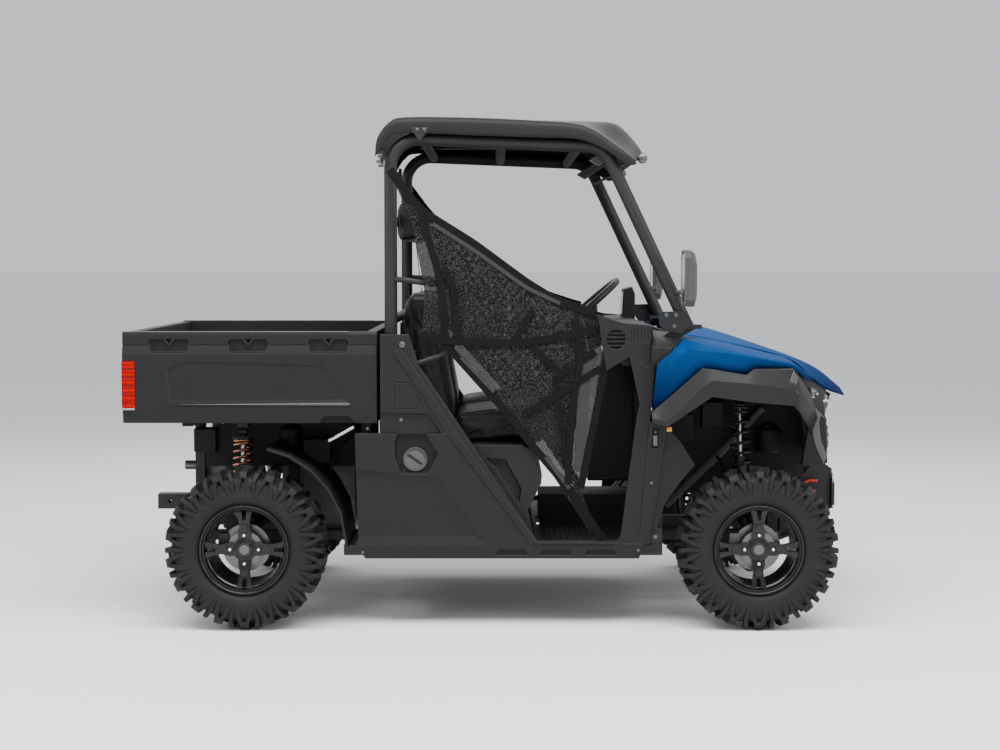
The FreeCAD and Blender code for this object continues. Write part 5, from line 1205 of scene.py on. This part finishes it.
class FitSprings(bpy.types.Operator):
    """Wind the four suspension springs and sleeve their dampers."""

    bl_idname = "vehicle.fit_springs"
    bl_label = "Springs"

    def execute(self, context):
        sizes = context.scene.vehicle_sizes
        springs = []
        sleeves = Form()
        for x, foot, head in DAMPERS:
            start = Vector((x, -foot[0], foot[1]))
            run = Vector((x, -head[0], head[1])) - start
            seat = run.length * LOWER_SEAT - 8
            sleeves.stack(start, run, ((20, 21), (25, 22), (25, seat - 14), (31, seat - 12), (31, seat),
                                       (20, seat + 1)))
            top = run.length - UPPER_SEAT
            sleeves.stack(start, run, ((8, 20), (9.8, 21), (9.8, top - 1), (8, top)))
            ahead = run.normalized()
            springs.append(coil(start + ahead * run.length * LOWER_SEAT, start + ahead * top,
                                sizes.spring_radius / MM, sizes.spring_wire / MM, sizes.spring_turns))
        front, rear = springs
        sleeves.both().piece("damper_sleeves", "bright_steel", smooth=50)
        front.both().piece("springs_front", "spring_black", smooth=80, replaces=("springs",))
        rear.both().piece("springs_rear", "spring_copper", smooth=80)
        return {"FINISHED"}


class FitTyres(bpy.types.Operator):
    """Fit the four treaded tyres."""

    bl_idname = "vehicle.fit_tyres"
    bl_label = "Tyres"

    def execute(self, context):
        for end, side, hand in WHEELS:
            name = end + "_" + hand
            carcass, lugs = tyre_form(end, side)
            carcass.piece("tyre_carcass_" + name, "tyre_rubber", "wheel_" + name, smooth=50,
                          replaces=("tyre_" + name,))
            lugs.piece("tyre_tread_" + name, "tyre_rubber", "wheel_" + name, edge=1.4, smooth=28)
        return {"FINISHED"}


class FitRims(bpy.types.Operator):
    """Fit the four spoked rims with their nuts."""

    bl_idname = "vehicle.fit_rims"
    bl_label = "Rims"

    def execute(self, context):
        for end, side, hand in WHEELS:
            name = end + "_" + hand
            rim_form(end, side).piece("rim_spoked_" + name, "wheel_black", "wheel_" + name, edge=1.2,
                                      smooth=30, replaces=("rim_" + name,))
            nut_form(end, side).piece("wheel_nuts_" + name, "nut_chrome", "wheel_" + name, smooth=60)
        return {"FINISHED"}


class FitSeats(bpy.types.Operator):
    """Upholster the two seats with their backs and head rests."""

    bl_idname = "vehicle.fit_seats"
    bl_label = "Seats"

    def execute(self, context):
        for pad in PADS:
            upholstered(*pad)
        return {"FINISHED"}


NET_Y = 670
NET_GRID = 28
NET_WAVE = 2.5
NET_GAP = 3.5
NET_LAYER = 1.6


class FitNets(bpy.types.Operator):
    """Hang the two side nets with their straps."""

    bl_idname = "vehicle.fit_nets"
    bl_label = "Side Nets"

    def execute(self, context):
        for side, hand in SIDES:
            panel = sheet_form(NET_OUTLINE, NET_Y * side, NET_GRID, NET_WAVE)
            mesh = panel.piece("side_net_mesh_" + hand, "net_mesh", smooth=180)
            for look, thick, table in (("net_strap", 2.4, NET_STRAPS), ("net_band", 1.6, NET_BANDS)):
                for name, width, layer, path in table:
                    form = strap_form(path, width, side * (NET_Y + NET_GAP + NET_LAYER * layer), thick)
                    form.piece(look + "_" + name + "_" + hand, look, smooth=60)
            if side < 0:
                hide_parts("side_nets")
        return {"FINISHED"}


BELT = ((-366, -560, 1585), (-352, -560, 1500), (-318, -562, 1200), (-300, -566, 900), (-296, -566, 730))
BUCKLE_INBOARD = 175


class FitBelts(bpy.types.Operator):
    """Hang the seat belts from the rear posts."""

    bl_idname = "vehicle.fit_belts"
    bl_label = "Seat Belts"

    def execute(self, context):
        width = context.scene.vehicle_sizes.belt_width / MM
        for side, hand in SIDES:
            strap = belt_form(BELT, width, (1, 0, 0))
            tongue = Form().box((-316, -296), (-584, -548), (1010, 1064))
            if side > 0:
                strap, tongue = strap.mirrored(), tongue.mirrored()
            belt = strap.piece("seat_belt_" + hand, "belt_web", smooth=60)
            clip = tongue.piece("belt_tongue_" + hand, "moulded_black", edge=4)
            y = side * (SEAT_Y - BUCKLE_INBOARD)
            Form().box((-196, -176), (y - 18, y + 18), (820, 905)).piece(
                "belt_buckle_" + hand, "moulded_black", edge=4)
            Form().box((-192, -180), (y - 13, y + 13), (903, 910)).piece(
                "buckle_button_" + hand, "buckle_red", edge=1)
        return {"FINISHED"}


LAMP_BARS = (872, 902, 934, 966, 998)
LAMP_STRIP = ((1351, -348, 850), (1305, -445, 857), (1251, -548, 880))
LAMP_BROW = ((1345, -350, 868), (1299, -445, 886), (1246, -545, 906))
LAMP_CUPS = ((1324, -390, 863), (1299, -440, 872), (1274, -490, 882))


class FitLamps(bpy.types.Operator):
    """Finish the lamps and fit their bars, strips and cups."""

    bl_idname = "vehicle.fit_lamps"
    bl_label = "Lamps"

    def execute(self, context):
        dress("lamp_red", "tail_lamps")
        dress("lamp_black", "headlamps")
        lines = Form()
        for z in LAMP_BARS:
            lines.box((-1421.5, -1374), (-688.8, -687.5), (z - 1.4, z + 1.4))
        lines.both().piece("tail_lamp_bars", "wheel_black", "cargo_bed")
        edges = Form().box((-1422, -1374), (-689.2, -687), (840, 847))
        edges.both().piece("tail_lamp_edge", "bright_steel", "cargo_bed")
        Form().tube(LAMP_STRIP, 3.2, sides=8, bend=30).both().piece("lamp_strips", "lamp_white", smooth=60)
        Form().tube(LAMP_BROW, 2.4, sides=8, bend=30).both().piece("lamp_brows", "bright_steel", smooth=60)
        cups = Form()
        for place in LAMP_CUPS:
            cups.stack(place, (1, -0.35, 0), ((11, 0), (11, 9), (9.4, 10), (7, 4)), sides=28)
        cups.both().piece("lamp_cups", "bright_steel", smooth=50)
        return {"FINISHED"}


NEAR_BOLTS = (
    (-288, 1912, 648.5, 5), (-261, 1912, 648.5, 5), (-346, 1092, 700, 9), (669, 1202, 636, 6),
    (707, 1202, 636, 6), (700, 1160, 636, 6), (-352, 803, 689, 5), (628, 350, 665, 8),
    (-480, 770, 700, 4), (560, 300, 700, 4), (-500, 292, 700, 4), (610, 560, 700, 4),
)
BED_BOLTS = (-1360, -1180, -1000, -820, -640)


class FitBolts(bpy.types.Operator):
    """Set the bolts of the body panels and the cargo bed."""

    bl_idname = "vehicle.fit_bolts"
    bl_label = "Bolts"

    def execute(self, context):
        form = Form()
        for x, z, y, size in NEAR_BOLTS:
            form.bolt((x, -y, z), (0, -1, 0), size)
        form.both().piece("body_bolts", "satin_steel", smooth=30)
        heads = Form()
        for x in BED_BOLTS:
            heads.bolt((x, -300, 819), (0, 0, 1), 7)
        heads.both().piece("bed_bolts", "satin_steel", "cargo_bed", smooth=30)
        return {"FINISHED"}


PLATES = {
    "bracket_plates": (
        ([(-315, 1920), (-242, 1920), (-250, 1904), (-279, 1868), (-306, 1904)], -648.5, -645.5),
        ([(640, 1168), (640, 1216), (745, 1218), (772, 1172), (728, 1132), (660, 1140)], -636, -632.5),
        ([(601, 326), (606, 380), (655, 380), (651, 326)], -665, -655)),
    "corner_brackets": (
        ([(372, 1800), (470, 1868), (505, 1845), (410, 1778)], 540, 572),
        ([(448, 1764), (545, 1808), (549, 1798), (454, 1753)], 550, 562)),
    "instrument_display": (([(556.5, 1182), (562, 1276), (564.5, 1276), (559, 1182)], 232, 366),),
    "inner_panels": (
        ([(730, 470), (900, 470), (1258, 540), (1258, 770), (1190, 940), (730, 1060)], -304, -300),
        ([(-1165, 580), (-560, 580), (-560, 795), (-1040, 795), (-1165, 700)], -296, -292)),
    "centre_console": (([(440, 885), (394, 490), (585, 490), (585, 1050), (466, 1058)], -60, 60),),
    "bed_ledges": (([(-1232, 861), (-560, 868), (-545, 862), (-560, 858)], -690, -684),),
    "front_blades": (
        # Painted highlight: a pale facet on the front end of the flare.
        ([(1141, 994), (1160, 965), (1147, 932), (1164, 904), (1127, 938), (1129, 960)], -757, -752),
        ([(1199, 888), (1256, 840), (1290, 801), (1275, 810), (1267, 791), (1275, 718), (1300, 655),
          (1287, 622), (1256, 690), (1244, 742), (1240, 796), (1201, 846), (1168, 888)], -602, -596)),
}
NET_BUCKLES = ((-431, 1812), (-436, 1792), (-428, 1776))


def plates(name):
    """Form of the plates of a piece."""
    form = Form()
    for plate in PLATES[name]:
        form.prism(*plate)
    return form


class FitBrackets(bpy.types.Operator):
    """Fit the plates on the posts and cowl and the buckles of the nets."""

    bl_idname = "vehicle.fit_brackets"
    bl_label = "Brackets"

    def execute(self, context):
        form = plates("bracket_plates").box((-432, -418), (-640, -626), (1770, 1832))
        form.both().piece("bracket_plates", "cage_black", edge=1.5)
        plates("corner_brackets").both().piece("corner_brackets", "bracket_grey", edge=4)
        form = Form()
        for x, z in NET_BUCKLES:
            form.box((x - 9, x + 9), (-652, -634), (z - 7, z + 7))
        form.both().piece("net_buckles", "satin_steel", edge=2)
        return {"FINISHED"}


BED_LEVER = ((-628, -706, 724), (-600, -708, 738), (-533, -702, 776))
CAP_X = -298
CAP_Z = 650
CAP_TURN = 35
FILLER_RING = ((41, -679), (46, -679), (46, -674), (41, -674), (41, -679))


class FitLatches(bpy.types.Operator):
    """Fit the levers and latches, the filler ring, the markers and the gate handle."""

    bl_idname = "vehicle.fit_latches"
    bl_label = "Latches"

    def execute(self, context):
        Form().tube(BED_LEVER, 6, sides=12, bend=10).both().piece("bed_levers", "bright_steel", smooth=50)
        form = Form().box((615, 633), (-695, -688), (702, 744))
        form.stack((624, -690, 756), (0, -1, 0), ((6, 0), (6, 4), (4, 5)))
        form.both().piece("side_latches", "satin_steel", edge=2)
        slot = Form().box((CAP_X - 31, CAP_X + 31), (-695, -693.4), (CAP_Z - 5, CAP_Z + 5))
        slot.turned_by(CAP_TURN, (CAP_X, -694, CAP_Z)).piece("cap_slot", "wheel_black")
        ring = Form().turned(FILLER_RING, (CAP_X, 0, CAP_Z), 48)
        ring.piece("filler_ring", "satin_steel", edge=1)
        marker = Form().box((662, 682), (-752, -738), (762, 780))
        marker.both().piece("amber_markers", "lamp_amber", edge=3)
        handle = Form().box((-1420, -1404), (-60, 60), (1082, 1094))
        handle.piece("gate_handle", "wheel_black", "tailgate", edge=4)
        return {"FINISHED"}


FIN_PITCH = 10.2
CABLE_PITCH = 6
DRUM_X = 1352
DRUM_Z = 470
DRUM = ((30, 0), (30, 12), (20, 13), (20, 177), (30, 178), (30, 190))
TOW_HOOK = ((1330, -232, 512), (1296, -232, 516), (1264, -232, 500), (1262, -232, 476), (1290, -232, 466),
            (1322, -232, 470))
BUMPER_ROD = ((1392, -236, 405), (1396, -236, 470), (1390, -236, 538))
NOSE_FILLER = (((1150, -480, 1024), (1190, -470, 995), (1254, -450, 950), (1330, -400, 898)),
               ((1155, -545, 960), (1190, -545, 930), (1240, -540, 890), (1300, -500, 862)),
               ((1163, -590, 905), (1190, -590, 885), (1230, -590, 850), (1292, -590, 800)))
FLARE_TIP = (((1143, -743, 1000), (1143, -764, 925), (1143, -756, 862)),
             ((1166, -722, 975), (1172, -738, 900), (1168, -730, 838)),
             ((1205, -668, 925), (1216, -672, 848), (1205, -664, 790)),
             ((1240, -600, 880), (1262, -598, 800), (1240, -596, 740)))


class FitFrontEnd(bpy.types.Operator):
    """Fit the radiator, hooks, winch, rods, fillers, flare tips and visor knobs."""

    bl_idname = "vehicle.fit_front_end"
    bl_label = "Front End"

    def execute(self, context):
        fins = Form().box((1196, 1214), (-235, 235), (640, 850))
        for index in range(46):
            y = -230 + index * FIN_PITCH
            fins.box((1214, 1219), (y, y + 2), (646, 844))
        fins.piece("radiator", "radiator_black")
        Form().tube(TOW_HOOK, 6, sides=12, bend=16).both().piece("tow_hooks", "hook_red", smooth=50)
        Form().tube(BUMPER_ROD, 5, sides=12, bend=20).both().piece("bumper_rods", "bright_steel", smooth=50)
        drum = Form().stack((DRUM_X, -95, DRUM_Z), (0, 1, 0), DRUM)
        drum.piece("winch_drum", "bright_steel", smooth=40)
        cable = Form()
        for index in range(26):
            y = -78 + index * CABLE_PITCH
            cable.turned([(21, y), (24.2, y + 3), (21, y + CABLE_PITCH)], (DRUM_X, 0, DRUM_Z), 40)
        cable.piece("winch_cable", "cable_grey")
        Form().skin(NOSE_FILLER).both().piece("nose_fillers", "moulded_black", smooth=60, thick=3)
        Form().skin(FLARE_TIP).both().piece("flare_tips", "moulded_grey", smooth=30, thick=4)
        knobs = Form().stack((578, -562, 1806), (0, -1, 0), ((17, 0), (19, 3), (19, 30), (15, 34)))
        knobs.both().piece("visor_knobs", "satin_steel", smooth=50)
        return {"FINISHED"}


MAT_PITCH = 21
GUARD_FOAM = ((-120, -641, 1300), (9, -641, 1265), (40, -641, 1203), (-22, -641, 1125), (-90, -641, 1114))


class FitCab(bpy.types.Operator):
    """Fit the mirror glass, display, floor mats and the foam of the guard loops."""

    bl_idname = "vehicle.fit_cab"
    bl_label = "Cab"

    def execute(self, context):
        glass = Form().box((725.5, 727.5), (-774, -648), (1252, 1438))
        glass.both().piece("mirror_glass", "mirror_glass", edge=1)
        plates("instrument_display").piece("instrument_display", "display_glass", edge=1)
        mat = Form()
        for low, high in ((-560, -150), (150, 560)):
            mat.box((196, 560), (low, high), (316.2, 321))
            for index in range(17):
                x = 206 + index * MAT_PITCH
                mat.box((x, x + 8), (low + 10, high - 10), (321, 327))
        mat.piece("floor_mats", "mat_rubber", edge=1.5)
        Form().tube(GUARD_FOAM, 16.5, bend=34).both().piece("guard_foam", "foam_black", smooth=60)
        return {"FINISHED"}


BED_TOP = 1141
NOSE_STAY = ((700, -292, 420), (905, -310, 620), (1090, -330, 820))


class FitInnerPanels(bpy.types.Operator):
    """Fit the panels of the wheel wells, the centre console, the bed ledges with a painted highlight line
    along the top of the bed, and the front blades with a painted highlight facet on the front end of each
    flare.
    """

    bl_idname = "vehicle.fit_inner_panels"
    bl_label = "Inner Panels"

    def execute(self, context):
        plates("inner_panels").both().piece("inner_panels", "moulded_black", edge=1)
        plates("centre_console").piece("centre_console", "moulded_black", edge=8)
        # Painted highlight: a thin pale bar along the top edge of the bed, in place of the light its rim
        # catches.
        top_highlight_line = [(x, -675, BED_TOP - 1) for x in (-1416, -552)]
        form = plates("bed_ledges").tube(top_highlight_line, 2.5, sides=8)
        form.both().piece("bed_ledges", "trim_grey", "cargo_bed", edge=1)
        form = plates("front_blades").tube(NOSE_STAY, 17)
        form.both().piece("front_blades", "trim_grey", edge=2)
        return {"FINISHED"}


HOSES = (
    ((1240, 215, 470), (1190, 330, 560), (1090, 460, 520), (1040, 540, 440), (1030, 590, 400)),
    ((940, 220, 480), (900, 320, 640), (930, 470, 560), (985, 560, 430)),
    ((-900, 230, 470), (-870, 330, 600), (-900, 470, 560), (-930, 560, 420)),
    ((-640, 240, 700), (-700, 330, 690), (-820, 360, 640), (-900, 330, 560)),
    ((-560, 330, 720), (-640, 400, 640), (-660, 420, 520), (-560, 430, 420)),
)
EQUIPMENT = (((700, 800), (-420, -330), (690, 800)), ((840, 930), (-360, -290), (740, 845)),
             ((-760, -650), (-400, -300), (600, 700)), ((-1210, -1120), (-330, -240), (640, 735)))
CANISTERS = ((1110, -330, 50, 22, 114), (-820, -300, 46, 20, 112))


class FitLines(bpy.types.Operator):
    """Fit the small equipment and the brake hoses."""

    bl_idname = "vehicle.fit_lines"
    bl_label = "Hoses"

    def execute(self, context):
        gear = Form()
        for sides in EQUIPMENT:
            gear.box(*sides)
        for x, y, wide, neck, high in CANISTERS:
            can = ((wide - 6, 0), (wide, 6), (wide, 92), (wide - 8, 100), (neck, 102), (neck, high))
            gear.stack((x, y, 640), (0, 0, 1), can)
        gear.piece("small_equipment", "moulded_black", edge=5)
        hose = Form()
        for path in HOSES:
            hose.tube([(x, -y, z) for x, y, z in path], 5, sides=10, bend=60)
        hose.both().piece("brake_hoses", "hose_rubber", smooth=60)
        return {"FINISHED"}


STEPS = (BuildStage, FinishBody, FitPanels, FinishChassis, FitSprings, FitTyres, FitRims, FitSeats,
         FitNets, FitBelts, FitLamps, FitBolts, FitBrackets, FitLatches, FitFrontEnd, FitCab, FitInnerPanels,
         FitLines)


class VehiclePanel(bpy.types.Panel):
    """Lists the steps and settings of the vehicle."""

    bl_idname = "VIEW3D_PT_vehicle"
    bl_label = "Side by Side Vehicle"
    bl_space_type = "VIEW_3D"
    bl_region_type = "UI"
    bl_category = "Vehicle"

    def draw(self, context):
        for step in STEPS:
            self.layout.operator(step.bl_idname)
        for group in (context.scene.vehicle_sizes, context.scene.vehicle_colours):
            for name in group.bl_rna.properties.keys():
                if name not in ("rna_type", "name"):
                    self.layout.prop(group, name)


CLASSES = (VehicleSizes, VehicleColours) + STEPS + (VehiclePanel,)


def register():
    for kind in CLASSES:
        bpy.utils.register_class(kind)
    bpy.types.Scene.vehicle_sizes = bpy.props.PointerProperty(type=VehicleSizes)
    bpy.types.Scene.vehicle_colours = bpy.props.PointerProperty(type=VehicleColours)


def unregister():
    del bpy.types.Scene.vehicle_colours
    del bpy.types.Scene.vehicle_sizes
    for kind in reversed(CLASSES):
        bpy.utils.unregister_class(kind)


def main():
    register()
    for step in STEPS:
        group, action = step.bl_idname.split(".")
        getattr(getattr(bpy.ops, group), action)()


if __name__ == "__main__":
    main()
